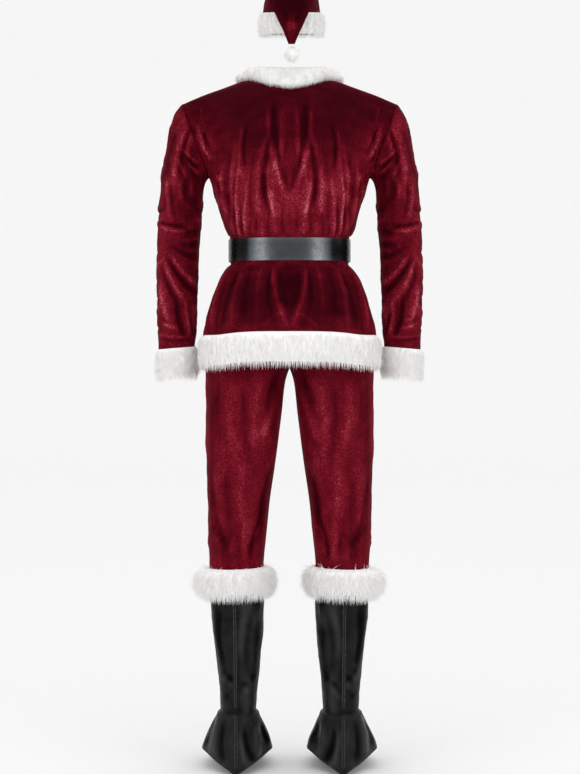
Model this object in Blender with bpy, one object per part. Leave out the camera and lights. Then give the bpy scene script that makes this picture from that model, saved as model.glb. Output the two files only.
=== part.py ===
"""Santa suit worn on nobody: hat, jacket, belt, trousers and boot covers.

Metres, +Z up.  The back of the suit faces -Y, the wearer's right is +X.
Heights in the tables are measured from the floor under the heels; the origin
is lifted to the shoulders, where the wearer holds the suit up.
"""
import math
from bisect import bisect_right

import bpy
import bmesh
from mathutils import Matrix, Vector

# Driving dimensions
ORIGIN_HEIGHT = 1.500       # shoulders above the floor
CLOTH = 0.0020              # velvet wall
LEATHERCLOTH = 0.0016       # boot cover wall
SEAM = 0.0003               # gap between pieces that are sewn together
UNDERARM = 1.332            # lowest point of the armhole
UNDERARM_HALF = 0.1810
SHOULDER = 1.4985           # shoulder tip
SHOULDER_HALF = 0.242
ARMHOLE_BACK = 0.056        # how far the armhole reaches to the back and the front
ARMHOLE_FRONT = 0.060
ARMHOLE_LEAN = 0.34         # how far the armhole goes out for each step up
NECK_HALF = 0.075
NECK_BACK = 0.066
NECK_FRONT = 0.088
NECK_DROP = 0.062           # front neckline below the neck points
BACK_NECK_DROP = 0.020
HEM_LIFT = 0.009            # the hem rides up at the centre back
LAP_SHARE = 0.045           # how far each front reaches past the centre
BODY_POWER = 2.25           # squareness of the body's sections
SHOULDER_POWER = 2.5
BELT_WIDTH = 0.050
BELT_THICK = 0.0025
BELT_HEIGHT = 1.168
WAIST = 1.1425              # lower end of the straight part under the belt
CROTCH = 0.905
HIP_RISE = 0.100            # height over which the crotch seam reaches the seat
WAISTBAND = (1.082, 1.116)
SEAT_CORNER = 0.88          # exponent of the hips' sections: under 1 is squarer than an ellipse
KNEE_CORNER = 0.92
TUCKED = 0.470              # below this the legs are round, inside the boot covers

# Body of the jacket: one row for each section, from the hem to the underarm
# Columns: height, half_width, back, front, seam_angle
BODY = (
    (0.912, 0.1930, 0.147, 0.149, 53),
    (0.945, 0.1940, 0.147, 0.149, 54),
    (0.981, 0.1945, 0.146, 0.148, 55),
    (1.035, 0.1825, 0.138, 0.142, 57),
    (1.089, 0.1650, 0.128, 0.133, 60),
    (1.116, 0.1520, 0.119, 0.124, 62),
    (1.134, 0.1390, 0.109, 0.115, 64),
    (1.1425, 0.1345, 0.105, 0.111, 67),
    (1.1935, 0.1345, 0.105, 0.111, 67),
    (1.206, 0.1400, 0.109, 0.116, 71),
    (1.224, 0.1460, 0.114, 0.120, 74),
    (1.278, 0.1630, 0.123, 0.128, 82),
    (UNDERARM, UNDERARM_HALF, 0.128, 0.133, 90),
)
BODY_ROWS = (0.912, 0.950, 0.986, 1.020, 1.052, 1.082, 1.108, 1.128, 1.1425,
             1.1935, 1.206, 1.228, 1.254, 1.280, 1.306, UNDERARM)
SHOULDER_ROWS = 8
HALF_SHARES = [0, 0.10, 0.20, 0.31, 0.42, 0.53, 0.64, 0.75, 0.84, 0.92, 1.0]
FUR_TOP = 0.986             # upper edge of the hem's fur
HEM_FUR_LOW = 0.897
HEM_FUR_THICK = 0.0105
HEM_END_GAP = 0.0024        # between the hem fur's two ends at the centre front

# Trims that go round a tube: lower edge, upper edge and thickness of the fur
CUFF_FUR = (0.877, 0.957, 0.0065)
BOOT_FUR = (0.390, 0.463, 0.0230)
BOOT_FUR_OUTER = 0.010      # thicker by this at the outer side
HAT_FUR = (1.634, 1.694, 0.0090)
COLLAR_THICK = 0.0170

# Top edge of the jacket seen from behind, from the neck point to the shoulder tip
# Columns: out, height
SHOULDER_LINE = (
    (0.075, 1.5530),
    (0.095, 1.5520),
    (0.120, 1.5450),
    (0.150, 1.5340),
    (0.190, 1.5200),
    (0.242, 1.4985),
)

# Sleeve rings: outer and inner point of each, and half its depth
SLEEVE_SPAN = 0.505         # sum of the two distances out at the elbow: the front's folds are turned round
SLEEVE_LEAVE = (0.94, 0, -0.34)     # direction in which the sleeve leaves the armhole seam
# Columns: outer_x, outer_z, inner_x, inner_z, centre_y, half_depth
SLEEVE = (
    (0.2520, 1.4855, 0.1845, 1.3275, 0.002, 0.060),
    (0.2620, 1.4670, 0.1875, 1.3230, 0.002, 0.062),
    (0.2700, 1.4420, 0.1900, 1.3170, 0.003, 0.064),
    (0.2760, 1.4120, 0.1920, 1.3090, 0.004, 0.065),
    (0.2820, 1.3780, 0.1935, 1.2990, 0.005, 0.065),
    (0.2870, 1.3440, 0.1945, 1.2860, 0.007, 0.065),
    (0.2915, 1.3050, 0.1955, 1.2680, 0.009, 0.064),
    (0.2950, 1.2650, 0.1965, 1.2430, 0.012, 0.062),
    (0.2965, 1.2320, 0.1985, 1.2230, 0.015, 0.060),
    (0.2985, 1.1970, 0.2010, 1.1930, 0.018, 0.058),
    (0.3000, 1.1600, 0.2035, 1.1580, 0.021, 0.056),
    (0.3005, 1.1220, 0.2055, 1.1210, 0.025, 0.055),
    (0.3005, 1.0850, 0.2065, 1.0850, 0.029, 0.053),
    (0.3005, 1.0480, 0.2080, 1.0480, 0.033, 0.052),
    (0.3000, 1.0120, 0.2090, 1.0120, 0.037, 0.050),
    (0.2990, 0.9800, 0.2100, 0.9800, 0.040, 0.047),
    (0.2965, 0.9560, 0.2150, 0.9560, 0.042, 0.044),
    (0.2960, 0.8900, 0.2155, 0.8900, 0.044, 0.043),
)

# Trouser legs: one row for each section, from the waist to the tucked hem
LEG_SPAN = 0.24             # sum of the two distances out across a leg
# Columns: height, inner, outer, back, front, centre_y
LEG = (
    (1.0817, 0.0003, 0.1280, 0.100, 0.092, 0.000),
    (1.050, 0.0003, 0.1400, 0.108, 0.100, 0.000),
    (1.010, 0.0003, 0.1620, 0.116, 0.106, 0.000),
    (0.965, 0.0003, 0.1780, 0.120, 0.108, 0.000),
    (0.935, 0.0003, 0.1850, 0.119, 0.106, 0.000),
    (0.905, 0.0010, 0.1885, 0.114, 0.102, 0.000),
    (0.873, 0.0105, 0.1890, 0.106, 0.097, 0.000),
    (0.819, 0.0155, 0.1885, 0.098, 0.090, 0.002),
    (0.765, 0.0225, 0.1880, 0.092, 0.086, 0.004),
    (0.711, 0.0290, 0.1870, 0.086, 0.082, 0.005),
    (0.657, 0.0370, 0.1860, 0.080, 0.078, 0.005),
    (0.603, 0.0450, 0.1850, 0.076, 0.074, 0.004),
    (0.549, 0.0500, 0.1825, 0.072, 0.070, 0.003),
    (0.500, 0.0555, 0.1805, 0.067, 0.065, 0.002),
    (0.455, 0.0592, 0.1786, 0.0618, 0.0598, 0.001),
    (0.425, 0.0610, 0.1760, 0.058, 0.056, 0.000),
    (0.375, 0.0660, 0.1690, 0.052, 0.050, 0.000),
)

# Boot shafts, from the top edge to the ankle
# Columns: height, inner, outer, back, front, centre_y
SHAFT = (
    (0.455, 0.0572, 0.1808, 0.0640, 0.0620, 0.001),
    (0.410, 0.0572, 0.1790, 0.0635, 0.0615, 0.000),
    (0.360, 0.0575, 0.1765, 0.0620, 0.0600, 0.000),
    (0.300, 0.0605, 0.1700, 0.060, 0.058, 0.002),
    (0.240, 0.0665, 0.1630, 0.055, 0.054, 0.004),
    (0.185, 0.0725, 0.1580, 0.050, 0.050, 0.006),
    (0.1425, 0.0745, 0.1565, 0.048, 0.049, 0.008),
)
ANKLE_DIP = 0.010           # the ankle seam is this much lower at the back

# Foot of a boot cover, from the ankle seam to its lower edge
# Columns: drop, half_width, centre_x, centre_y, heel, toe, heel_power
FOOT = (
    (0.00, 0.0410, 0.1155, 0.008, 0.048, 0.049, 2.00),
    (0.22, 0.0525, 0.1163, 0.012, 0.057, 0.066, 1.80),
    (0.46, 0.0635, 0.1172, 0.020, 0.071, 0.092, 1.60),
    (0.72, 0.0735, 0.1182, 0.032, 0.094, 0.130, 1.40),
    (0.90, 0.0785, 0.1188, 0.041, 0.117, 0.156, 1.25),
    (1.00, 0.0800, 0.1190, 0.045, 0.129, 0.168, 1.15),
)
# Columns: turn, height
FOOT_EDGE = (               # lower edge, from the heel point round to the toe
    (0, 0.001),
    (45, 0.021),
    (80, 0.041),
    (120, 0.030),
    (180, 0.014),
)

# Hat: front and back point of each ring, and half its width
# Columns: front_y, front_z, back_y, back_z, half_width
HAT = (
    (0.0990, 1.640, -0.0990, 1.640, 0.0655),
    (0.0985, 1.700, -0.0985, 1.698, 0.0640),
    (0.0940, 1.735, -0.0995, 1.720, 0.0560),
    (0.0780, 1.772, -0.1030, 1.735, 0.0550),
    (0.0480, 1.800, -0.1080, 1.744, 0.0545),
    (0.0050, 1.816, -0.1135, 1.749, 0.0540),
    (-0.045, 1.820, -0.1185, 1.751, 0.0540),
    (-0.090, 1.810, -0.1225, 1.749, 0.0540),
    (-0.127, 1.788, -0.1255, 1.742, 0.0540),
    (-0.150, 1.759, -0.1280, 1.731, 0.0540),
    (-0.158, 1.723, -0.1300, 1.714, 0.0520),
    (-0.157, 1.682, -0.1325, 1.680, 0.0350),
    (-0.152, 1.647, -0.1340, 1.647, 0.0180),
    (-0.147, 1.619, -0.1360, 1.619, 0.0070),
)
HAT_X = 0.0045
HAT_LEAN = 8.4              # degrees that the hat leans back, its front edge higher on the head
POMPOM = (0.0055, -0.1415, 1.5981, 0.021)

# Folds, as seen square on from behind or from in front, as distances out from
# the centre and heights: from one end to the other, half width, and how proud
# Columns: out_1, height_1, out_2, height_2, spread, proud
BACK_FOLDS = (
    (0.036, 1.500, 0.001, 1.262, 0.012, -0.0050),
    (0.060, 1.470, 0.020, 1.300, 0.013, 0.0030),
    (0.040, 1.417, 0.056, 1.253, 0.010, -0.0030),
    (0.097, 1.440, 0.101, 1.330, 0.012, -0.0045),
    (0.115, 1.420, 0.122, 1.300, 0.012, 0.0030),
    (0.101, 1.330, 0.112, 1.225, 0.010, -0.0030),
    (0.190, 1.480, 0.165, 1.395, 0.014, -0.0035),
    (0.200, 1.385, 0.160, 1.340, 0.010, 0.0035),
    (0.186, 1.352, 0.145, 1.300, 0.010, -0.0035),
    (0.128, 1.250, 0.118, 1.195, 0.007, 0.0030),
    (0.104, 1.238, 0.100, 1.195, 0.006, -0.0030),
    (0.084, 1.240, 0.084, 1.195, 0.007, 0.0028),
    (0.062, 1.236, 0.064, 1.195, 0.007, -0.0028),
    (0.036, 1.240, 0.038, 1.195, 0.008, 0.0026),
    (0.000, 1.250, 0.000, 1.195, 0.010, -0.0026),
    (0.036, 1.130, 0.001, 1.005, 0.014, 0.0065),
    (0.014, 1.130, 0.000, 1.060, 0.010, -0.0040),
    (0.066, 1.135, 0.082, 0.995, 0.015, -0.0045),
    (0.094, 1.130, 0.124, 0.985, 0.015, 0.0045),
    (0.118, 1.120, 0.160, 0.985, 0.013, -0.0035),
)
FRONT_FOLDS = (
    (0.070, 1.470, 0.050, 1.300, 0.014, 0.0030),
    (0.095, 1.450, 0.105, 1.290, 0.013, -0.0045),
    (0.120, 1.430, 0.128, 1.310, 0.012, 0.0030),
    (0.195, 1.400, 0.150, 1.330, 0.011, -0.0035),
    (0.180, 1.350, 0.140, 1.290, 0.010, 0.0030),
    (0.126, 1.245, 0.116, 1.195, 0.007, 0.0028),
    (0.098, 1.240, 0.096, 1.195, 0.007, -0.0028),
    (0.072, 1.240, 0.072, 1.195, 0.007, 0.0026),
    (0.062, 1.130, 0.076, 0.995, 0.015, 0.0050),
    (0.098, 1.128, 0.126, 0.985, 0.014, -0.0045),
    (0.122, 1.120, 0.165, 0.985, 0.013, 0.0035),
)
SLEEVE_FOLDS = (
    (0.212, 1.430, 0.262, 1.340, 0.011, 0.0030),
    (0.215, 1.385, 0.275, 1.290, 0.012, -0.0045),
    (0.205, 1.335, 0.250, 1.270, 0.010, 0.0035),
    (0.203, 1.290, 0.240, 1.245, 0.009, -0.0035),
    (0.290, 1.262, 0.215, 1.222, 0.010, -0.0050),
    (0.285, 1.235, 0.210, 1.205, 0.009, 0.0040),
    (0.206, 1.190, 0.285, 1.130, 0.011, -0.0045),
    (0.215, 1.150, 0.290, 1.070, 0.012, 0.0035),
    (0.290, 1.100, 0.225, 1.040, 0.011, -0.0035),
    (0.215, 1.030, 0.280, 1.000, 0.009, 0.0035),
    (0.292, 0.995, 0.230, 0.978, 0.008, -0.0035),
)
LEG_FOLDS = (
    (0.030, 0.900, 0.075, 0.790, 0.014, -0.0045),
    (0.070, 0.890, 0.092, 0.700, 0.016, 0.0035),
    (0.135, 0.880, 0.128, 0.650, 0.015, -0.0045),
    (0.165, 0.860, 0.160, 0.720, 0.013, 0.0030),
    (0.060, 0.680, 0.085, 0.560, 0.013, -0.0035),
    (0.115, 0.640, 0.110, 0.500, 0.014, 0.0040),
    (0.150, 0.600, 0.140, 0.500, 0.012, -0.0035),
    (0.068, 0.560, 0.110, 0.490, 0.010, 0.0035),
    (0.165, 0.545, 0.125, 0.485, 0.010, 0.0035),
    (0.080, 0.520, 0.075, 0.470, 0.008, -0.0030),
    (0.100, 0.515, 0.098, 0.470, 0.008, 0.0030),
    (0.140, 0.515, 0.145, 0.470, 0.008, -0.0030),
)
SHAFT_FOLDS = (
    (0.090, 0.400, 0.085, 0.250, 0.012, -0.0025),
    (0.145, 0.390, 0.142, 0.260, 0.012, -0.0025),
    (0.150, 0.230, 0.120, 0.195, 0.009, 0.0025),
    (0.082, 0.205, 0.112, 0.175, 0.008, -0.0025),
)


def remove_everything():
    """Empty the file that Blender starts with."""
    for item in list(bpy.data.objects):
        bpy.data.objects.remove(item, do_unlink=True)


def material(name, colour, roughness, metallic=0.0):
    """A plain finish; colour is linear."""
    made = bpy.data.materials.new(name)
    made.use_nodes = True
    shader = made.node_tree.nodes["Principled BSDF"]
    shader.inputs["Base Color"].default_value = (*colour, 1.0)
    shader.inputs["Roughness"].default_value = roughness
    shader.inputs["Metallic"].default_value = metallic
    return made


def clamp(value, low=0.0, high=1.0):
    """The value kept between two limits."""
    return max(low, min(high, value))


def smooth(value):
    """0 to 1 with soft ends."""
    value = clamp(value)
    return value * value * (3.0 - 2.0 * value)


def mix(first, second, share):
    """Straight from one number to another."""
    return first + (second - first) * share


def power(value, exponent):
    """A power that keeps the sign."""
    return math.copysign(abs(value) ** exponent, value)


def along(table, value, column=0):
    """A table's row at a value of one column, on a smooth curve through its rows."""
    rows = table if table[0][column] < table[-1][column] else table[::-1]
    keys = [row[column] for row in rows]
    value = clamp(value, keys[0], keys[-1])
    i = min(bisect_right(keys, value) - 1, len(keys) - 2)
    before, start = rows[max(i - 1, 0)], rows[i]
    end, after = rows[i + 1], rows[min(i + 2, len(rows) - 1)]
    span = keys[i + 1] - keys[i]
    t = (value - keys[i]) / span
    found = []
    for c in range(len(start)):
        slope_1 = (end[c] - before[c]) / (end[column] - before[column]) * span
        slope_2 = (after[c] - start[c]) / (after[column] - start[column]) * span
        found.append((2 * t ** 3 - 3 * t ** 2 + 1) * start[c] + (t ** 3 - 2 * t ** 2 + t) * slope_1
                     + (3 * t ** 2 - 2 * t ** 3) * end[c] + (t ** 3 - t ** 2) * slope_2)
    return found


def fold_height(folds, out, height):
    """How proud the folds of a table stand at a point of the elevation."""
    total = 0.0
    for out_1, height_1, out_2, height_2, spread, proud in folds:
        run, rise = out_2 - out_1, height_2 - height_1
        length = math.hypot(run, rise)
        share = ((out - out_1) * run + (height - height_1) * rise) / length ** 2
        side = ((out - out_1) * rise - (height - height_1) * run) / length
        if -0.25 < share < 1.25:
            ends = smooth((share + 0.25) / 0.4) * smooth((1.25 - share) / 0.4)
            total += proud * ends * math.exp(-(side / spread) ** 2)
    return total


def normals(grid, wrap=False):
    """Unit normals of a grid of points, across each row and along the rows."""
    last_row, last = len(grid) - 1, len(grid[0]) - 1
    found = []
    for r, row in enumerate(grid):
        line = []
        for c in range(len(row)):
            left = row[c - 1] if wrap or c > 0 else row[0]
            right = row[(c + 1) % (last + 1)] if wrap or c < last else row[last]
            down, up = grid[max(r - 1, 0)][c], grid[min(r + 1, last_row)][c]
            line.append((right - left).cross(up - down).normalized())
        found.append(line)
    return found


def displaced(grid, amount, sign, fades=None):
    """The grid with each point moved out along its normal by amount(point, normal)."""
    fades = fades or [1.0] * len(grid[0])
    return [[p + n * sign * amount(p, n * sign) * fade for p, n, fade in zip(row, line, fades)]
            for row, line in zip(grid, normals(grid))]


def put(name, bm, surface, shade=True, angle=50):
    """Finish a mesh: outward faces, the origin at the shoulders, one material."""
    bmesh.ops.recalc_face_normals(bm, faces=bm.faces[:])
    bmesh.ops.translate(bm, verts=bm.verts[:], vec=(0, 0, -ORIGIN_HEIGHT))
    mesh = bpy.data.meshes.new(name)
    bm.to_mesh(mesh)
    bm.free()
    made = bpy.data.objects.new(name, mesh)
    PARTS.objects.link(made)
    mesh.materials.append(surface)
    if shade:
        mesh.shade_smooth()
        mesh.set_sharp_from_angle(angle=math.radians(angle))
    return made


def wall(name, outer, inner, surface, wrap=False):
    """A closed wall between two grids of points that match."""
    bm = bmesh.new()
    out = [[bm.verts.new(p) for p in row] for row in outer]
    ins = [[bm.verts.new(p) for p in row] for row in inner]
    rows, columns = len(out), len(out[0])
    steps = columns if wrap else columns - 1
    for r in range(rows - 1):
        for c in range(steps):
            d = (c + 1) % columns
            bm.faces.new((out[r][c], out[r][d], out[r + 1][d], out[r + 1][c]))
            bm.faces.new((ins[r][c], ins[r + 1][c], ins[r + 1][d], ins[r][d]))
    for c in range(steps):
        d = (c + 1) % columns
        bm.faces.new((out[0][c], ins[0][c], ins[0][d], out[0][d]))
        bm.faces.new((out[-1][c], out[-1][d], ins[-1][d], ins[-1][c]))
    if not wrap:
        for r in range(rows - 1):
            bm.faces.new((out[r][0], out[r + 1][0], ins[r + 1][0], ins[r][0]))
            bm.faces.new((out[r][-1], ins[r][-1], ins[r + 1][-1], out[r + 1][-1]))
    return put(name, bm, surface)


def inset(grid, thickness, sign, wrap=False, level=None):
    """The inner face of a wall: the grid moved in by its thickness; one row may stay level."""
    out = normals(grid, wrap)
    inner = [[p - n * sign * thickness for p, n in zip(row, line)] for row, line in zip(grid, out)]
    if level is not None:
        for point, edge in zip(inner[level], grid[level]):
            point.z = edge.z
    return inner


def body_section(angle, height):
    """A point of the jacket's body, by its turn from the centre back."""
    half, back, front = along(BODY, height)[1:4]
    turn = math.radians(angle)
    depth = back if math.cos(turn) > 0 else front
    lift = HEM_LIFT * smooth((math.cos(turn) - 0.6) / 0.4) * smooth((1.040 - height) / 0.060)
    return Vector((half * power(math.sin(turn), 2 / BODY_POWER),
                   -depth * power(math.cos(turn), 2 / BODY_POWER), height + lift))


def armhole(turn, side, arm):
    """A point of an armhole: turn 0 underarm, pi shoulder tip; side -1 back, 1 front."""
    rise = (1 - math.cos(turn)) / 2
    depth = ARMHOLE_BACK if side < 0 else ARMHOLE_FRONT
    return Vector((arm * mix(UNDERARM_HALF, SHOULDER_HALF, rise), side * depth * math.sin(turn),
                   mix(UNDERARM, SHOULDER, rise)))


def armhole_inward(turn, side, arm):
    """Which way the body and the sleeve are both thick at the armhole."""
    low, high = armhole(0, side, arm), armhole(math.pi, side, arm)
    radial = ((low + high) / 2 - armhole(turn, side, arm)).normalized()
    body = Vector((-arm * math.cos(turn / 2) ** 2, -side * math.sin(turn), -math.sin(turn / 2) ** 2))
    return (radial + body.normalized()).normalized()


def jacket_top(out, side):
    """A point of the neckline or the shoulder seam."""
    reach = abs(out)
    if reach >= NECK_HALF:
        return Vector((out, side * SEAM / 2, along(SHOULDER_LINE, reach)[1]))
    round_neck = math.sqrt(1 - (reach / NECK_HALF) ** 2)
    drop, depth = (BACK_NECK_DROP, NECK_BACK) if side < 0 else (NECK_DROP, NECK_FRONT)
    return Vector((out, side * max(depth * round_neck, SEAM / 2),
                   SHOULDER_LINE[0][1] - drop * (1 - (reach / NECK_HALF) ** 2) ** 0.7))


def jacket_upper(share, step, side):
    """A point between the underarm and the top edge; share runs from arm to arm."""
    base = body_section(90 * share if side < 0 else 180 - 90 * share, UNDERARM)
    top = jacket_top(share * SHOULDER_HALF, side)
    turn = math.pi * step
    rise_edge = (1 - math.cos(turn)) / 2
    rise_middle = math.sin(turn / 2) ** 1.25
    rise = mix(rise_middle, rise_edge, abs(share) ** 1.5)
    round_off = (1 - rise ** SHOULDER_POWER) ** (1 / SHOULDER_POWER)
    y = top.y - (top.y - base.y) * round_off
    depth = ARMHOLE_BACK if side < 0 else ARMHOLE_FRONT
    y = mix(y, side * max(depth * math.sin(turn), SEAM / 2), abs(share) ** 5)
    return Vector((mix(base.x, top.x, rise), y, mix(UNDERARM, top.z, rise)))


def jacket_grid(shares, side):
    """Rows of points of the back (side -1) or the front (side 1), hem to shoulders."""
    rows = []
    for height in BODY_ROWS:
        seam_angle = along(BODY, height)[4]
        reach = seam_angle if side < 0 else 180 - seam_angle
        row = [body_section(reach * s if side < 0 else 180 - reach * s, height) for s in shares]
        for c, beside in ((0, 1), (-1, -2)):
            if abs(shares[c]) == 1:
                row[c] += (row[beside] - row[c]).normalized() * SEAM / 2
        rows.append(row)
    for step in range(1, SHOULDER_ROWS + 1):
        rows.append([jacket_upper(s, step / SHOULDER_ROWS, side) for s in shares])
    return rows


def side_normal(height, arm):
    """The outward normal at a side seam, the same for the back and for the front."""
    angle = along(BODY, height)[4]
    around = body_section(angle + 1, height) - body_section(angle - 1, height)
    up = body_section(angle, height + 0.005) - body_section(angle, height - 0.005)
    out = around.cross(up).normalized()
    return Vector((arm * out.x, out.y, out.z))


def jacket_panel(name, shares, side, folds, lap=0.0):
    """One panel of the jacket as a wall, with its folds; lap sinks its centre edge."""
    grid = jacket_grid(shares, side)
    sign = -side

    def amount(point, normal):
        facing = smooth(abs(normal.y) * 1.3)
        edge = smooth((SHOULDER - point.z) / 0.05) * smooth((point.z - FUR_TOP - HEM_LIFT) / 0.035)
        belt = smooth((abs(point.z - BELT_HEIGHT) - BELT_WIDTH / 2) / 0.012)
        return fold_height(folds, abs(point.x), point.z) * facing * edge * belt

    fades = [smooth((1 - abs(share)) / 0.16) for share in shares]
    moved = displaced(grid, amount, sign, fades)
    if lap:
        under = CLOTH + 6 * SEAM
        out = normals(moved)
        moved = [[p - n * sign * under * smooth((0.050 - lap * p.x) / 0.026) for p, n in zip(row, line)]
                 for row, line in zip(moved, out)]
    inner = inset(moved, CLOTH, sign)
    last = len(shares) - 1
    for r, height in enumerate(BODY_ROWS):
        for c in (0, last):
            if abs(shares[c]) == 1:
                inner[r][c] = moved[r][c] - side_normal(height, shares[c]) * CLOTH
    for step in range(SHOULDER_ROWS + 1):
        row = len(BODY_ROWS) - 1 + step
        turn = math.pi * step / SHOULDER_ROWS
        for c in (0, last):
            if abs(shares[c]) > 0.99:
                arm = math.copysign(1, moved[row][c].x)
                moved[row][c] = grid[row][c]
                inner[row][c] = grid[row][c] + armhole_inward(turn, side, arm) * CLOTH
    for c in range(len(shares)):
        if abs(moved[-1][c].x) >= NECK_HALF:
            inner[-1][c] = moved[-1][c] + (inner[-1][c] - moved[-1][c]) * Vector((1, 0, 1))
            moved[-1][c].y = side * SEAM / 2
            inner[-1][c].y = side * SEAM / 2
    return wall(name, moved, inner, VELVET)


def sleeve_ring(row, arm, columns):
    """Points round one ring of a sleeve, from the seam under the arm by the back."""
    outer_x, outer_z, inner_x, inner_z, centre_y, half_depth = row
    points = []
    for c in range(columns + 1):
        turn = 2 * math.pi * c / columns
        share = (1 + math.cos(turn)) / 2
        gap = -SEAM / 2 if c == 0 else SEAM / 2 if c == columns else 0.0
        points.append(Vector((arm * mix(outer_x, inner_x, share),
                              centre_y - half_depth * math.sin(turn) + gap,
                              mix(outer_z, inner_z, share))))
    return points


def sleeve(name, arm):
    """A set-in sleeve with its seam under the arm; returns its outer points."""
    columns = 2 * SHOULDER_ROWS
    out, _, down = SLEEVE_LEAVE
    leave = Vector((arm * out, 0, down)) * SEAM * 1.3
    start, start_in = [], []
    for c in range(columns + 1):
        side, turn = (-1, c / columns) if c <= SHOULDER_ROWS else (1, 1 - c / columns)
        turn *= 2 * math.pi
        gap = -SEAM / 2 if c == 0 else SEAM / 2 if c == columns else 0.0
        point = armhole(turn, side, arm) + leave + Vector((0, gap, 0))
        start.append(point)
        start_in.append(point + armhole_inward(turn, side, arm) * CLOTH)
    grid = [start] + [sleeve_ring(row, arm, columns) for row in SLEEVE]
    cuff = SLEEVE[-2][1]

    def amount(point, normal):
        out = abs(point.x) if normal.y < 0 else SLEEVE_SPAN - abs(point.x)
        fade = smooth(abs(normal.y) * 1.4) * smooth((point.z - cuff) / 0.02)
        seam_line = ARMHOLE_LEAN * (point.z - UNDERARM) + 0.190
        ease = smooth((abs(point.x) - seam_line) / 0.02)
        return fold_height(SLEEVE_FOLDS, out, point.z) * fade * ease

    sign = -arm
    moved = displaced(grid, amount, sign)
    moved[0] = start
    inner = inset(moved, CLOTH, sign)
    inner[0] = start_in
    wall(name, moved, inner, VELVET)
    return moved


def leg_point(row, share, side):
    """A point of a trouser leg; share runs from the inseam by the back to the inseam."""
    height, inner, outer, back, front, centre_y = row
    centre, half = (inner + outer) / 2, (outer - inner) / 2
    turn = 2 * math.pi * share
    depth = back if share < 0.5 else front
    corner = mix(1.0, KNEE_CORNER, smooth((height - TUCKED) / 0.080))
    tube = Vector((centre - half * power(math.cos(turn), corner),
                   centre_y - depth * power(math.sin(turn), corner), height))
    turn = math.pi * share
    shell = Vector((outer * power(math.sin(turn), SEAT_CORNER),
                    -depth * power(math.cos(turn), SEAT_CORNER), height))
    point = tube.lerp(shell, smooth((height - CROTCH) / HIP_RISE))
    return Vector((side * max(point.x, SEAM / 2), point.y, height))


def trouser_leg(name, side):
    """One leg with its half of the seat, from the waist to the hem tucked in the boot."""
    columns = 16
    grid = []
    for row in LEG:
        points = [leg_point(row, c / columns, side) for c in range(columns + 1)]
        if row[0] < CROTCH + 0.001:
            points[0].y -= SEAM / 2
            points[-1].y += SEAM / 2
        grid.append(points)

    def amount(point, normal):
        out = abs(point.x) if normal.y < 0 else LEG_SPAN - abs(point.x)
        fade = smooth(abs(normal.y) * 1.4) * smooth((CROTCH - point.z) / 0.03)
        return fold_height(LEG_FOLDS, out, point.z) * fade * smooth((point.z - 0.46) / 0.02)

    sign = -side
    moved = displaced(grid, amount, sign)
    inner = inset(moved, CLOTH, sign)
    for row in inner:
        for point in row:
            point.x = side * max(side * point.x, SEAM / 2)
    wall(name, moved, inner, VELVET)


def waistband():
    """The band over the tops of both trouser legs, a little thicker than the cloth."""
    half, back, front = LEG[0][2:5]
    columns = 32
    grid = []
    for height in (WAISTBAND[0], sum(WAISTBAND) / 2, WAISTBAND[1]):
        row = []
        for c in range(columns):
            turn = 2 * math.pi * c / columns
            depth = back if math.cos(turn) > 0 else front
            row.append(Vector((half * power(math.sin(turn), SEAT_CORNER),
                               -depth * power(math.cos(turn), SEAT_CORNER), height)))
        grid.append(row)
    wall("trousers_waistband", grid, inset(grid, 1.5 * CLOTH, 1, wrap=True), VELVET, wrap=True)


def boot_shaft(name, side):
    """The shaft of a boot cover, seamed up its back; returns its outer points."""
    columns = 16
    grid = []
    for height, inner, outer, back, front, centre_y in SHAFT:
        centre, half = (inner + outer) / 2, (outer - inner) / 2
        row = []
        for c in range(columns + 1):
            turn = 2 * math.pi * c / columns
            depth = back if math.cos(turn) > 0 else front
            gap = SEAM / 2 if c == 0 else -SEAM / 2 if c == columns else 0.0
            dip = ANKLE_DIP * (1 + math.cos(turn)) / 2 if height == SHAFT[-1][0] else 0.0
            row.append(Vector((side * centre + half * math.sin(turn) + gap,
                               centre_y - depth * math.cos(turn), height - dip)))
        grid.append(row)

    def amount(point, normal):
        fade = smooth(abs(normal.y) * 1.4) * smooth((0.355 - point.z) / 0.03)
        return fold_height(SHAFT_FOLDS, abs(point.x), point.z) * fade * smooth((point.z - 0.15) / 0.03)

    moved = displaced(grid, amount, -1)
    wall(name, moved, inset(moved, LEATHERCLOTH, -1, level=-1), BOOT)
    return moved


def boot_foot(name, side):
    """The foot of a boot cover: flared, pointed at the heel and open below."""
    columns = 16
    ankle = SHAFT[-1][0]
    grid = []
    for drop, half, centre_x, centre_y, heel, toe, heel_power in FOOT:
        row = []
        for c in range(columns + 1):
            turn = 2 * math.pi * c / columns
            behind = math.cos(turn) > 0
            depth, corner = (heel, heel_power) if behind else (toe, 2.1)
            gap = SEAM / 2 if c == 0 else -SEAM / 2 if c == columns else 0.0
            half_turn = 180 - abs(math.degrees(turn) - 180)
            low = along(FOOT_EDGE, half_turn)[1]
            high = ankle - SEAM - ANKLE_DIP * (1 + math.cos(turn)) / 2
            row.append(Vector((side * centre_x + half * power(math.sin(turn), 2 / corner) + gap,
                               centre_y - depth * power(math.cos(turn), 2 / corner),
                               mix(high, low, drop))))
        grid.append(row)
    wall(name, grid, inset(grid, LEATHERCLOTH, -1, level=0), BOOT)


def hat():
    """The hat's cone, standing in its band and flopped over behind it."""
    columns = 16
    grid = []
    for front_y, front_z, back_y, back_z, half in HAT:
        row = []
        for c in range(columns + 1):
            turn = 2 * math.pi * c / columns
            share = (1 + math.cos(turn)) / 2
            gap = SEAM / 2 if c == 0 else -SEAM / 2 if c == columns else 0.0
            row.append(Vector((HAT_X + half * math.sin(turn) + gap, mix(front_y, back_y, share),
                               mix(front_z, back_z, share))))
        grid.append(row)
    wall("hat_cone", grid, inset(grid, CLOTH, 1), VELVET)
    return grid


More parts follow.
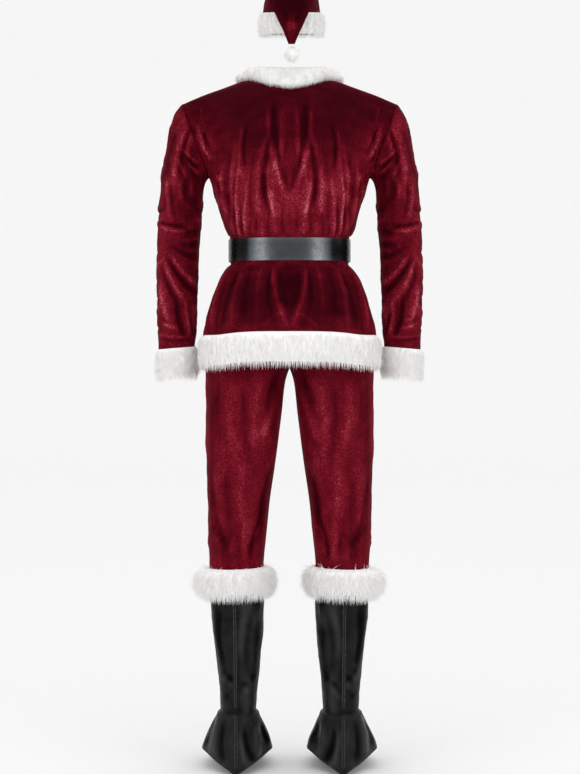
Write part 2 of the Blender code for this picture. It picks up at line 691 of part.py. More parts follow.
def column_at(column, height):
    """The point of a column of a grid at a height, straight on past its ends."""
    points = sorted(column, key=lambda p: p.z)
    if height <= points[0].z:
        return Vector((points[0].x, points[0].y, height))
    for low, high in zip(points, points[1:]):
        if height <= high.z:
            return low.lerp(high, (height - low.z) / (high.z - low.z))
    return Vector((points[-1].x, points[-1].y, height))


def fur(name, stations, closed):
    """A thick soft band: one loop of points at each station along it."""
    bm = bmesh.new()
    rings = [[bm.verts.new(p) for p in loop] for loop in stations]
    count = len(rings[0])
    pairs = list(zip(rings, rings[1:] + rings[:1])) if closed else list(zip(rings, rings[1:]))
    for ring, following in pairs:
        for c in range(count):
            d = (c + 1) % count
            bm.faces.new((ring[c], ring[d], following[d], following[c]))
    if not closed:
        bm.faces.new(rings[0])
        bm.faces.new(rings[-1][::-1])
    return put(name, bm, FUR, angle=80)


def fur_loop(inside, outward, thick, tufts=4):
    """Round outer face over the inside points, which run from the lower to the upper edge."""
    low, high = inside[0], inside[-1]
    loop = list(inside)
    for k in range(tufts, 0, -1):
        share = (k - 0.5) / tufts
        swell = math.sin(math.pi * (0.12 + 0.76 * share)) ** 0.6
        loop.append(low.lerp(high, share) + outward * thick * swell)
    return loop


def lumps(turn, seed):
    """Uneven thickness of fur along its band, about 1."""
    return 1 + 0.07 * math.sin(5 * turn + seed) + 0.06 * math.sin(9 * turn + 2.1 * seed)


def fur_round(name, grid, low, high, thick, tilt=0.0, outer_extra=0.0):
    """A closed band of fur round the columns of a tube, all turned about its middle."""
    columns = [list(column) for column in zip(*grid)][:-1]
    inside_rows = [r for r, row in enumerate(grid) if low + 0.006 < row[0].z < high - 0.006]
    inside_rows.sort(key=lambda r: grid[r][0].z)
    middles = [column_at(column, (low + high) / 2) for column in columns]
    centre = sum(middles, Vector()) / len(middles)
    half = max(abs(p.x - centre.x) for p in middles)
    stations = []
    for i, column in enumerate(columns):
        across = (middles[i].x - centre.x) / half * (1 if centre.x > 0 else -1)
        lean = tilt * across
        outward = (middles[(i + 1) % len(columns)] - middles[i - 1]).cross(Vector((0, 0, 1)))
        outward = outward.normalized()
        if outward.dot(middles[i] - centre) < 0:
            outward = -outward
        points = [column_at(column, low + lean)] + [column[r] for r in inside_rows]
        points = [p + outward * SEAM for p in points + [column_at(column, high + lean)]]
        full = thick * lumps(2 * math.pi * i / len(columns), centre.x * 40) + outer_extra * max(across, 0)
        stations.append(fur_loop(points, outward, full))
    return fur(name, stations, True)


def hem_fur(back_grid, front_grids):
    """The strip round the hem, its ends meeting at the centre front."""
    left, right = [[list(column) for column in zip(*grid)] for grid in front_grids]
    back = [list(column) for column in zip(*back_grid)]
    run = right + back[-2:0:-1] + left
    middles = [column_at(c, (HEM_FUR_LOW + FUR_TOP) / 2) for c in run]
    stations = []
    for i, column in enumerate(run):
        before, after = middles[max(i - 1, 0)], middles[min(i + 1, len(run) - 1)]
        outward = (after - before).cross(Vector((0, 0, 1))).normalized()
        if outward.dot(middles[i]) < 0:
            outward = -outward
        lift = column[0].z - BODY_ROWS[0]
        levels = (HEM_FUR_LOW, BODY_ROWS[1], FUR_TOP - 0.002)
        points = [column_at(column, h + lift) + outward * SEAM for h in levels]
        if i in (0, len(run) - 1):
            for p in points:
                p.x = math.copysign(HEM_END_GAP / 2, 1 if i == 0 else -1)
            outward = Vector((0, 1, 0))
        thick = HEM_FUR_THICK * lumps(i * 0.35, 1.3)
        stations.append(fur_loop(points, outward, thick, tufts=5))
    return fur("hem_fur", stations, False)


# Columns: turn, top_x, top_y, top_z, edge_share, edge_step
COLLAR = (                  # free upper edge, and where the lower edge lies on the jacket
    (0, 0.000, -0.060, 1.5720, 0.00, 0.800),
    (30, 0.036, -0.054, 1.5740, 0.17, 0.840),
    (60, 0.061, -0.034, 1.5750, 0.37, 0.910),
    (75, 0.069, -0.018, 1.5740, 0.46, 0.960),
    (90, 0.073, 0.004, 1.5720, 0.49, 1.000),
    (105, 0.073, 0.024, 1.5670, 0.48, 0.960),
    (120, 0.069, 0.042, 1.5590, 0.45, 0.900),
    (140, 0.055, 0.070, 1.5420, 0.34, 0.780),
    (160, 0.031, 0.092, 1.5220, 0.18, 0.670),
    (180, 0.001, 0.102, 1.5100, 0.02, 0.600),
)
COLLAR_CLEAR = 0.0014


def collar_fur():
    """The strip round the neck: standing behind, lying on the shoulders and the chest."""
    stations = []
    steps = 14
    for i in range(-steps, steps + 1):
        turn = 180 * i / steps
        side = -1 if i < 0 else 1
        _, top_x, top_y, top_z, share, step = along(COLLAR, abs(turn))
        top = Vector((side * top_x, top_y, top_z))
        edge = jacket_upper(side * share, min(step, 1.0), -1 if abs(turn) < 90 else 1)
        edge += (edge - Vector((0, 0.01, edge.z - 0.12))).normalized() * COLLAR_CLEAR
        centre = Vector((0, 0.01, top_z - 0.05))
        run = Vector((math.cos(math.radians(turn)), math.sin(math.radians(turn)), 0))
        outward = (edge - top).cross(run).normalized()
        if outward.dot(top - centre) < 0:
            outward = -outward
        middle = top.lerp(edge, 0.5) + outward * 0.003
        thick = COLLAR_THICK * lumps(math.radians(turn) * 1.4, 0.4)
        stations.append(fur_loop((edge, middle, top), outward, thick))
    return fur("collar_fur", stations, False)


def belt_point(angle, height, proud):
    """A point over the waist; past 180 degrees the turn carries on round the front."""
    base = body_section(angle, WAIST)
    beside = body_section(angle + 0.5, WAIST) - body_section(angle - 0.5, WAIST)
    outward = Vector((beside.y, -beside.x, 0)).normalized()
    return Vector((base.x, base.y, height)) + outward * proud


def front_turn(out):
    """The turn short of the centre front at which the waist is this far out."""
    half = along(BODY, WAIST)[1]
    return math.degrees(math.asin((out / half) ** (BODY_POWER / 2)))


BUCKLE_HALF = 0.0350        # from the centre bar to the middle of each side bar
BAR = 0.0090
BAR_THICK = 0.0035
BUCKLE_HEIGHT = 0.070
BUCKLE_PROUD = SEAM + 2 * (BELT_THICK + SEAM) + SEAM


def belt_strap(turns):
    """The belt: its tip lies over the right side, through the buckle and round behind."""
    tip, under_end = 0.095, 0.028
    rise = BUCKLE_PROUD + BAR_THICK + SEAM - (BELT_THICK + 2 * SEAM)
    near = [front_turn(x) for x in (0.005, 0.010, 0.018, 0.026, 0.044, 0.060)]
    stops = sorted(set(round(t, 4) for t in turns) | {round(180 - n, 4) for n in near}
                   | {round(180 + n, 4) for n in near})
    whole = [s for s in stops if 0 <= s < 360]
    first, last = 180 - front_turn(tip), 540 - front_turn(under_end)
    path = [first] + [s for s in whole + [s + 360 for s in whole] if first < s < last] + [last]
    rows = [[], [], [], []]
    for turn in path:
        out = belt_point(turn, 0, 0).x
        over = turn < 200
        layer = (BELT_THICK + SEAM) * (smooth((out + 0.062) / 0.018) if over else 0.0)
        weave = rise * smooth((0.019 - abs(out)) / 0.013) if over else 0.0
        pointed = 0.010 * smooth((out - tip + 0.014) / 0.014) if over else 0.0
        half = BELT_WIDTH / 2 - pointed
        for row, height in zip(rows, (-half, -half / 3, half / 3, half)):
            point = belt_point(turn, BELT_HEIGHT + height, SEAM + layer + weave)
            outer = belt_point(turn, BELT_HEIGHT + height, SEAM + layer + weave + BELT_THICK)
            row.append((outer, point))
    outer = [[pair[0] for pair in row] for row in rows]
    inner = [[pair[1] for pair in row] for row in rows]
    wall("belt_strap", outer, inner, LEATHER)


def belt_buckle():
    """A plain frame with a centre bar, bent to the waist; the strap weaves through it."""
    half = BUCKLE_HEIGHT / 2
    side = BUCKLE_HALF
    right = [BAR / 2, 0.011, 0.020, side - BAR / 2, side + BAR / 2]
    stops = [-x for x in right[::-1]] + right
    levels = [-half, -half + BAR * 0.8, half - BAR * 0.8, half]
    bm = bmesh.new()
    grid = {(i, j): bm.verts.new((x, z, 0)) for i, x in enumerate(stops) for j, z in enumerate(levels)}
    bars = {0, 4, len(stops) - 2}
    for i in range(len(stops) - 1):
        for j in range(len(levels) - 1):
            if j != 1 or i in bars:
                bm.faces.new((grid[i, j], grid[i + 1, j], grid[i + 1, j + 1], grid[i, j + 1]))
    raised = bmesh.ops.extrude_face_region(bm, geom=bm.faces[:])["geom"]
    top = [v for v in raised if isinstance(v, bmesh.types.BMVert)]
    bmesh.ops.translate(bm, verts=top, vec=(0, 0, BAR_THICK))
    for vertex in bm.verts:
        x, z, proud = vertex.co
        turn = 180 - math.copysign(front_turn(abs(x)), x) if x else 180
        vertex.co = belt_point(turn, BELT_HEIGHT + z, BUCKLE_PROUD + proud)
    put("belt_buckle", bm, METAL, angle=30)


def pompom():
    """A ball of short locks."""
    x, y, z, radius = POMPOM
    bm = bmesh.new()
    bmesh.ops.create_uvsphere(bm, u_segments=14, v_segments=9, radius=radius * 0.8)
    poked = bmesh.ops.poke(bm, faces=bm.faces[:])["verts"]
    for vertex in poked:
        vertex.co *= radius / vertex.co.length
    bmesh.ops.translate(bm, verts=bm.verts[:], vec=(x, y, z))
    put("hat_pompom", bm, FUR, angle=10)


def lean_hat():
    """Turn the hat's pieces about the back of its lower edge."""
    hinge = Vector((0, HAT[0][2], HAT[0][1] - ORIGIN_HEIGHT))
    turn = Matrix.Translation(hinge) @ Matrix.Rotation(math.radians(HAT_LEAN), 4, "X")
    for name in ("hat_cone", "hat_band_fur", "hat_pompom"):
        PARTS.objects[name].data.transform(turn @ Matrix.Translation(-hinge))


def mirrored(shares):
    """Shares from the centre out, carried over to the other side."""
    return [-s for s in shares[:0:-1]] + list(shares)


def build_jacket():
    """The three velvet panels, the hem and collar fur, and the belt with its buckle."""
    jacket_panel("jacket_back", mirrored(HALF_SHARES), -1, BACK_FOLDS)
    over = [-s for s in HALF_SHARES[:0:-1]] + [0, LAP_SHARE]
    jacket_panel("jacket_front_left", over, 1, FRONT_FOLDS)
    jacket_panel("jacket_front_right", [-LAP_SHARE, 0, LAP_SHARE] + HALF_SHARES[1:], 1,
                 FRONT_FOLDS, lap=1.0)
    front_shares = [0, LAP_SHARE] + HALF_SHARES[1:]
    hem_fur(jacket_grid(mirrored(HALF_SHARES), -1),
            (jacket_grid([-s for s in front_shares[::-1]], 1), jacket_grid(front_shares, 1)))
    seam = along(BODY, WAIST)[4]
    turns = [seam * s for s in HALF_SHARES] + [180 - (180 - seam) * s for s in front_shares]
    turns += [360 - t for t in turns if 0 < t < 180]
    belt_strap([t % 360 for t in turns])
    belt_buckle()
    collar_fur()


def main():
    """Build every piece of the suit."""
    build_jacket()
    for side, arm in (("left", -1), ("right", 1)):
        tube = sleeve("sleeve_" + side, arm)
        fur_round("cuff_fur_" + side, tube, *CUFF_FUR, tilt=-0.004)
        trouser_leg("trousers_leg_" + side, arm)
        shaft = boot_shaft("boot_shaft_" + side, arm)
        boot_foot("boot_foot_" + side, arm)
        fur_round("boot_fur_" + side, shaft, *BOOT_FUR, tilt=-0.003, outer_extra=BOOT_FUR_OUTER)
    waistband()
    cone = hat()
    fur_round("hat_band_fur", cone[:3], *HAT_FUR)
    pompom()
    lean_hat()


remove_everything()
PARTS = bpy.data.collections.new("santa_suit")
bpy.context.scene.collection.children.link(PARTS)
VELVET = material("burgundy_velvet", (0.150, 0.004, 0.012), 0.75)
FUR = material("white_fur", (0.86, 0.86, 0.85), 0.95)
LEATHER = material("black_belt_leather", (0.012, 0.013, 0.015), 0.30)
BOOT = material("black_leathercloth", (0.013, 0.013, 0.014), 0.50)
METAL = material("nickel_plate", (0.62, 0.61, 0.58), 0.25, 1.0)
main()
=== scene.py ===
import math

import bmesh
import bpy
import numpy as np
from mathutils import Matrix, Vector
from mathutils.bvhtree import BVHTree


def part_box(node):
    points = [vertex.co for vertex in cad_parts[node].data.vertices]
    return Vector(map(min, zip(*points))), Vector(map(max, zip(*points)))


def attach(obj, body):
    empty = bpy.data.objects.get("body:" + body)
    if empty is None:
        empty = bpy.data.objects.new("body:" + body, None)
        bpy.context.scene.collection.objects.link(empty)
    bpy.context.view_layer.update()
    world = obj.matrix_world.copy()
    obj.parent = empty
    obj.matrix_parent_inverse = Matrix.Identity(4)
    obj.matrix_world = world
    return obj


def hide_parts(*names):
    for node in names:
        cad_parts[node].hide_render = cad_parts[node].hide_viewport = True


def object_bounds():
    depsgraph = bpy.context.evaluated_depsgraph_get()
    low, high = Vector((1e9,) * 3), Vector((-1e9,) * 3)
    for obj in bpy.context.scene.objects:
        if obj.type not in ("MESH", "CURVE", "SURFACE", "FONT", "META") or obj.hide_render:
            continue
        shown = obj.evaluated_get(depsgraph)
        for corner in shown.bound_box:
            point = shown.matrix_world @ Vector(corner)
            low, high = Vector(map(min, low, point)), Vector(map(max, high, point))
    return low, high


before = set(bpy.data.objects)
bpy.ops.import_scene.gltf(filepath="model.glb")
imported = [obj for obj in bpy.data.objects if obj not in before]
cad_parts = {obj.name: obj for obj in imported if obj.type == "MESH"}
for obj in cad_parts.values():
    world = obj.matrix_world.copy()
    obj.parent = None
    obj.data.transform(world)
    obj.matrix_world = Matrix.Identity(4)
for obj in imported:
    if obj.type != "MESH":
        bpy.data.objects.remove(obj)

bl_info = {
    "name": "Santa suit",
    "version": (1, 0, 0),
    "blender": (4, 5, 0),
    "location": "View3D > Sidebar > Santa suit",
    "description": "Dresses the packed solids of a velvet santa suit: cloth, fur, leathercloth and studio",
    "category": "Object",
}

CAD_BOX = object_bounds()
FLOOR = CAD_BOX[0].z - 0.0005          # just under the heels
ORIGIN_HEIGHT = 1.500                  # the frame's origin above the floor
MERGE = 1e-5
COPLANAR = 0.7                         # triangles that meet at less than this are joined to quads
ANY_SHAPE = 3.14
SHARP = math.radians(50)
SHADE_SHARP = math.radians(60)
WALL = 0.0034                          # a face narrower than this between two sharp edges is a cut edge
SLICE = 0.035                          # half of a slice across a garment that shows where its middle is
LINING_SPREAD = 2.2                    # the inner side's troughs, as a share of the outer side's
LINING_DEPTH = 1.25
RIM_HOLD = 0.9                         # how much of its creases a wall loses at a cut edge
SEAM_DEPTH, BOOT_SEAM_DEPTH = 0.0012, 0.0010
WAVES = 14                             # waves in a crumple, and about what they add up to
WAVE_PEAK = 3.7
CRUMPLE_PAINTED_LIGHT = 0.035                   # how much painted light a crumple puts on its rises and painted shade in its dips
CREASE_PAINTED_LIGHT, LEG_CREASE_PAINTED_LIGHT, BOOT_CREASE_PAINTED_LIGHT = 90.0, 62.0, 150.0     # the same for each metre of a crease, painted light on ridges and painted shade in troughs
# Painted shade in a sunk seam for each metre it sinks, and the painted highlight level of sewn welts
SEAM_PAINTED_SHADE = 120.0
SEWN_PAINTED_HIGHLIGHT = 0.45
BELT_HEIGHT = 1.168                    # heights above the floor
SKIRT_TOP = 1.130
SLEEVE_MIRROR = 0.505                  # the fronts have the backs' folds at this less the distance out
LEG_MIRROR = 0.24
BOOT_AXIS = 0.1165                     # from the centre out to the boot covers' back seam
BOOT_CENTRE = (0.1170, 0.018)
WELT_APART, ROW_APART = 0.0026, 0.0062       # from a back seam to its welts and its rows of stitches
SEAM_STEP = 0.006

# Creases as seen square on: distances out from the centre and heights above the floor
# from one end to the other, half width, and how proud; a negative one is a trough.
# Columns: out_1, height_1, out_2, height_2 in mm; spread, proud in tenths of a mm
CREASE_UNITS = (1000, 1000, 1000, 1000, 10000, 10000)
BACK_CREASES = (
    (34, 1494, 6, 1300, 60, -42), (48, 1480, 18, 1310, 60, 26), (16, 1470, 2, 1275, 55, 22),
    (40, 1420, 55, 1262, 55, -32), (52, 1410, 68, 1240, 60, 22), (24, 1390, 34, 1215, 50, 18),
    (94, 1440, 99, 1345, 42, -34), (103, 1435, 107, 1330, 45, 20), (118, 1400, 124, 1250, 55, 18),
    (132, 1370, 128, 1235, 50, -18), (76, 1380, 82, 1225, 48, -16), (205, 1445, 180, 1372, 65, 34),
    (192, 1432, 172, 1380, 42, -28), (196, 1390, 158, 1330, 55, -28), (186, 1368, 150, 1322, 42, 26),
    (176, 1345, 142, 1280, 50, -22), (166, 1320, 138, 1245, 45, 18), (150, 1350, 136, 1215, 40, 22),
    (143, 1345, 128, 1225, 36, -20), (112, 1345, 112, 1220, 38, 24), (119, 1330, 119, 1225, 34, -18),
    (88, 1330, 94, 1205, 38, 20), (63, 1375, 40, 1235, 38, -20), (47, 1345, 32, 1240, 40, 22),
    (31, 1440, 13, 1290, 36, 20), (9, 1400, 2, 1290, 36, -20), (131, 1252, 123, 1196, 32, 22),
    (124, 1262, 116, 1196, 26, -24), (115, 1250, 109, 1196, 28, 22), (107, 1268, 102, 1196, 26, -26),
    (99, 1240, 96, 1196, 30, 20), (88, 1225, 86, 1196, 32, -16), (70, 1245, 73, 1196, 36, -18),
    (58, 1230, 60, 1196, 32, 16), (44, 1250, 46, 1196, 34, -18), (30, 1228, 31, 1196, 30, 14),
    (14, 1262, 12, 1196, 40, -16), (37, 1122, 6, 1000, 50, 27), (20, 1120, 2, 1035, 50, -30),
    (48, 1110, 30, 992, 60, -16), (41, 1126, 46, 1060, 38, -22), (60, 1132, 70, 1010, 60, 16),
    (83, 1130, 100, 1020, 70, -18), (103, 1126, 128, 1000, 55, 20), (115, 1118, 148, 996, 45, -20),
    (10, 1030, 60, 1000, 50, 14),
)
FRONT_CREASES = (
    (112, 1500, 72, 1330, 65, -30), (88, 1450, 60, 1260, 60, 26), (102, 1420, 108, 1250, 50, -28),
    (128, 1400, 126, 1240, 55, 20), (206, 1440, 176, 1366, 60, 32), (194, 1400, 150, 1322, 52, -30),
    (182, 1362, 146, 1300, 46, 24), (168, 1330, 136, 1250, 48, -22), (50, 1350, 44, 1196, 52, -20),
    (126, 1256, 118, 1196, 30, 22), (117, 1246, 110, 1196, 27, -24), (106, 1262, 101, 1196, 30, 20),
    (94, 1240, 91, 1196, 28, -22), (80, 1252, 79, 1196, 32, 18), (66, 1236, 67, 1196, 30, -18),
    (52, 1132, 56, 1010, 55, 26), (74, 1130, 92, 1000, 60, -26), (98, 1128, 122, 998, 52, 22),
    (116, 1118, 152, 996, 45, -20),
)
SLEEVE_CREASES = (
    (206, 1455, 228, 1372, 52, 28), (216, 1448, 244, 1330, 50, -30), (228, 1440, 262, 1300, 62, 24),
    (252, 1430, 276, 1330, 58, -20), (247, 1372, 229, 1330, 42, 30), (238, 1392, 203, 1362, 34, 26),
    (232, 1378, 202, 1350, 34, -28), (226, 1362, 201, 1338, 34, 24), (222, 1348, 201, 1326, 34, -24),
    (243, 1318, 240, 1280, 40, 24), (218, 1322, 217, 1286, 40, 22), (230, 1322, 229, 1276, 46, -22),
    (271, 1330, 264, 1234, 42, 24), (263, 1322, 256, 1240, 42, -22), (296, 1233, 232, 1221, 36, -34),
    (290, 1222, 228, 1208, 40, 34), (252, 1206, 203, 1214, 36, -24), (236, 1192, 202, 1198, 34, 26),
    (242, 1180, 204, 1184, 34, -26), (228, 1168, 203, 1172, 34, 22), (262, 1176, 204, 1150, 46, -28),
    (266, 1158, 206, 1090, 52, 34), (272, 1146, 208, 1070, 58, -42), (279, 1146, 232, 1050, 50, 32),
    (286, 1124, 256, 1056, 50, -34), (254, 1062, 236, 976, 56, -38), (232, 1052, 222, 978, 50, 32),
    (290, 1090, 262, 990, 56, 26), (212, 1046, 210, 988, 44, 22), (221, 1020, 217, 976, 38, -26),
    (292, 1020, 262, 1004, 38, -22), (286, 1006, 246, 994, 36, 22), (297, 981, 232, 975, 32, 24),
    (294, 971, 222, 967, 32, -28),
)
# The same for the outer and inner side of a piece, with distances to the front
SLEEVE_SIDE_CREASES = (
    (-30, 1440, 20, 1360, 58, -28), (30, 1420, -10, 1320, 55, 24), (-34, 1350, 4, 1270, 50, -26),
    (48, 1300, 0, 1252, 45, 26), (-36, 1262, 50, 1236, 40, -30), (-30, 1238, 44, 1212, 40, 26),
    (60, 1200, 0, 1160, 46, -24), (-24, 1150, 40, 1100, 50, 24), (68, 1096, 8, 1050, 46, -24),
    (-6, 1044, 62, 1014, 42, 22), (76, 1010, 12, 990, 36, -22),
)
LEG_CREASES = (
    (26, 890, 50, 800, 70, -34), (20, 850, 60, 745, 65, 26), (60, 888, 78, 720, 75, 24),
    (94, 880, 90, 700, 70, -28), (128, 890, 120, 720, 80, 26), (156, 880, 150, 740, 65, -28),
    (176, 860, 170, 700, 60, 20), (36, 690, 62, 560, 66, -44), (60, 580, 84, 478, 60, -46),
    (66, 556, 78, 482, 30, 30), (100, 700, 104, 560, 75, 24), (136, 690, 132, 560, 65, -26),
    (164, 680, 152, 560, 60, 22), (182, 736, 160, 590, 60, -30), (166, 600, 130, 480, 52, -32),
    (98, 570, 98, 486, 40, 26), (112, 560, 108, 484, 42, -26), (176, 560, 140, 512, 45, -26),
    (168, 538, 132, 494, 40, 26), (60, 540, 88, 500, 38, -22), (150, 510, 146, 478, 36, -22),
    (124, 530, 128, 480, 38, 22),
)
LEG_SIDE_CREASES = (
    (-40, 880, -20, 700, 75, 26), (0, 860, 6, 680, 80, -28), (46, 870, 34, 700, 70, 24),
    (-30, 680, -20, 540, 65, -26), (20, 650, 12, 520, 60, 24), (-46, 560, 10, 500, 44, 26),
    (50, 550, 4, 490, 42, -26),
)
BODY_SIDE_CREASES = (
    (-50, 1330, -30, 1220, 60, 24), (-20, 1322, -10, 1200, 52, -26), (16, 1318, 6, 1204, 58, 22),
    (50, 1326, 30, 1222, 54, -22), (-30, 1246, -28, 1196, 32, -22), (34, 1250, 30, 1196, 34, 20),
    (-50, 1124, -70, 1000, 60, 24), (-12, 1128, -18, 998, 65, -26), (30, 1126, 44, 1002, 62, 24),
)
BOOT_CREASES = (
    (170, 380, 160, 264, 50, 26), (160, 268, 148, 212, 45, 28), (155, 360, 148, 244, 60, -26),
    (98, 366, 109, 262, 60, 22), (86, 350, 92, 220, 80, -24), (62, 384, 78, 330, 48, 26),
    (156, 236, 124, 206, 44, -24), (154, 222, 120, 190, 42, 22), (78, 214, 110, 186, 42, -24),
    (80, 198, 112, 170, 40, 20), (150, 182, 124, 160, 36, -18),
)
FOOT_CREASES = (
    (158, 124, 170, 42, 58, 30), (168, 114, 192, 54, 80, -26), (146, 116, 150, 30, 70, -20),
    (72, 108, 68, 36, 58, 28), (62, 108, 46, 58, 70, -26), (113, 90, 88, 10, 60, 26),
    (100, 100, 78, 24, 62, -22),
)
HAT_CREASES = (
    (0, 1716, 34, 1690, 50, -24), (30, 1742, 8, 1700, 55, 22), (4, 1700, 2, 1655, 36, 22),
    (18, 1690, 6, 1660, 34, -20), (48, 1760, 20, 1730, 60, -24), (40, 1790, 0, 1776, 70, 22),
)

# Painted light and shade, mixed with the lie of the pile: where it is painted lighter (above 0) or darker, as
# soft patches of a view
# Columns: out, height, half_out, half_height in mm; amount in per cent of the pile's range
NAP_UNITS = (1000, 1000, 1000, 1000, 100)
BACK_PILE_AND_PAINTED_LIGHT = (
    (100, 1500, 200, 85, -34), (60, 1415, 110, 50, -18), (178, 1405, 14, 34, 16), (98, 1290, 40, 50, 8),
    (26, 1250, 26, 40, 10), (12, 1390, 6, 60, 12), (130, 1250, 26, 60, 6), (80, 1060, 80, 75, -40),
    (0, 1105, 26, 40, -36), (0, 1050, 30, 50, -16), (34, 1075, 9, 50, 10), (12, 1020, 14, 24, 4),
    (162, 1040, 20, 60, -12),
)
FRONT_PILE_AND_PAINTED_LIGHT = (
    (120, 1500, 120, 60, -26), (100, 1320, 60, 80, 8), (30, 1280, 30, 80, -8), (80, 1060, 70, 60, -26),
    (150, 1040, 24, 60, -6),
)
SLEEVE_PILE_AND_PAINTED_LIGHT = (
    (246, 1445, 12, 40, 12), (222, 1370, 22, 50, -16), (252, 1335, 8, 36, 12), (218, 1290, 22, 60, -22),
    (286, 1180, 14, 160, 10), (220, 1180, 24, 40, -22), (240, 1120, 30, 30, -8), (280, 1050, 14, 50, 10),
    (216, 1030, 10, 40, 10), (250, 1030, 14, 40, -14),
)
LEG_PILE_AND_PAINTED_LIGHT = (
    (60, 760, 16, 130, 5), (108, 700, 14, 180, 7), (150, 720, 12, 150, 6), (180, 700, 12, 220, -26),
    (30, 780, 10, 120, -16), (110, 900, 90, 26, -16), (60, 580, 8, 60, -20), (96, 535, 6, 50, 10),
    (140, 510, 20, 30, -16), (176, 800, 8, 90, -12),
)
HAT_PILE_AND_PAINTED_LIGHT = (
    (20, 1750, 60, 40, -20), (0, 1690, 30, 30, -40), (4, 1652, 6, 10, 40),
)

LEATHERCLOTHS = {       # painted shade and painted reflection colours, roughness, dull and painted-reflection gloss, grain, wrinkle
    "boot_leathercloth": (("#050505", "#28292c"), 0.38, (0.02, 0.30), 0.35, 0.60),
    "belt_leathercloth": (("#0c0c0e", "#50565b"), 0.26, (0.02, 0.95), 0.30, 0.35),
}


def linear(code, alpha=1.0):
    """An sRGB hex colour as linear numbers."""
    values = [int(code[i:i + 2], 16) / 255 for i in (1, 3, 5)]
    return (*[v / 12.92 if v <= 0.04045 else ((v + 0.055) / 1.055) ** 2.4 for v in values], alpha)


def smooth(value):
    """0 to 1 with soft ends, for arrays too."""
    value = np.clip(value, 0.0, 1.0)
    return value * value * (3.0 - 2.0 * value)


def feed(tree, node, inputs):
    """Give each of a node's inputs a value or the socket that feeds it."""
    for key, value in inputs.items():
        if isinstance(value, bpy.types.NodeSocket):
            tree.links.new(value, node.inputs[key])
        else:
            node.inputs[key].default_value = value


def add(tree, kind, inputs=None, **settings):
    """One node with its settings; each input gets a value or the socket that feeds it."""
    node = tree.nodes.new(kind)
    for name, value in settings.items():
        setattr(node, name, value)
    feed(tree, node, inputs or {})
    return node


def crease_field(creases, out, height, lining=False):
    """How proud the creases of a table stand at points of its view. For the cloth's inner
    side only the troughs count, wider and deeper, so that it stays behind the outer."""
    total = np.zeros(len(out))
    for out_1, height_1, out_2, height_2, spread, proud in np.array(creases) / CREASE_UNITS:
        if lining:
            spread, proud = spread * LINING_SPREAD, min(proud, 0) * LINING_DEPTH
        run, rise = out_2 - out_1, height_2 - height_1
        length = math.hypot(run, rise)
        share = ((out - out_1) * run + (height - height_1) * rise) / length ** 2
        bow = 0.05 * length * np.sin(np.pi * np.clip(share, 0, 1))
        side = ((out - out_1) * rise - (height - height_1) * run) / length + bow
        ends = smooth((share + 0.12) / 0.30) * smooth((1.12 - share) / 0.30)
        width = spread * (0.75 + 0.5 * np.clip(share, 0, 1))
        total += proud * ends * np.exp(-(side / width) ** 2)
    return total


def pile_and_painted_light_field(patches, out, height):
    """How much lighter the pile is painted at points of its view: painted light, and painted shade where
    negative.
    """
    total = np.zeros(len(out))
    for at, level, half_out, half_height, amount in np.array(patches) / NAP_UNITS:
        total += amount * np.exp(-((out - at) / half_out) ** 2 - ((height - level) / half_height) ** 2)
    return total


def quads_of(node_name):
    """Points and faces of a merged copy of a CAD node, its triangles joined to quads."""
    bm = bmesh.new()
    bm.from_mesh(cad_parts[node_name].data)
    bmesh.ops.remove_doubles(bm, verts=bm.verts[:], dist=MERGE)
    bmesh.ops.join_triangles(bm, faces=bm.faces[:], angle_face_threshold=COPLANAR,
                             angle_shape_threshold=ANY_SHAPE)
    points = [tuple(v.co) for v in bm.verts]
    faces = [[v.index for v in face.verts] for face in bm.faces]
    bm.free()
    return points, faces


def plain_object(name, points, faces):
    """A mesh object of points and faces, in the scene."""
    mesh = bpy.data.meshes.new(name)
    mesh.from_pydata(points, [], faces)
    made = bpy.data.objects.new(name, mesh)
    bpy.context.scene.collection.objects.link(made)
    return made


def baked(obj):
    """The object with its modifiers turned into a plain mesh."""
    depsgraph = bpy.context.evaluated_depsgraph_get()
    depsgraph.update()
    old = obj.data
    mesh = bpy.data.meshes.new_from_object(obj.evaluated_get(depsgraph))
    obj.modifiers.clear()
    obj.data = mesh
    mesh.name = obj.name
    bpy.data.meshes.remove(old)
    return obj


def points_of(mesh):
    """A mesh's points as an array."""
    found = np.zeros(len(mesh.vertices) * 3, np.float32)
    mesh.vertices.foreach_get("co", found)
    return found.reshape(-1, 3).astype(float)


def set_points(mesh, points):
    """Move a mesh's points."""
    mesh.vertices.foreach_set("co", points.astype(np.float32).ravel())
    mesh.update()


def floats_of(mesh, name, domain_size):
    """A float attribute as an array."""
    found = np.zeros(domain_size, np.float32)
    mesh.attributes[name].data.foreach_get("value", found)
    return found.astype(float)


def keep_floats(mesh, name, values, domain="POINT"):
    """Store an array as a float attribute."""
    attribute = mesh.attributes.get(name) or mesh.attributes.new(name, "FLOAT", domain)
    attribute.data.foreach_set("value", np.asarray(values, np.float32))


def sides_by_facing(bm, rims):
    """A wall's outer and inner faces, told by whether they face away from the middle of the
    points near their height; near the top, that middle stays lower down."""
    points = np.array([v.co for v in bm.verts])
    top = points[:, 2].max() - SLICE * 4
    sides = ([], [])
    for face in bm.faces:
        if face not in rims:
            centre = face.calc_center_median()
            level = min(centre.z, top)
            middle = Vector(points[np.abs(points[:, 2] - level) < SLICE].mean(axis=0))
            middle.z = level
            sides[face.normal.dot(centre - middle) < 0].append(face)
    return sides


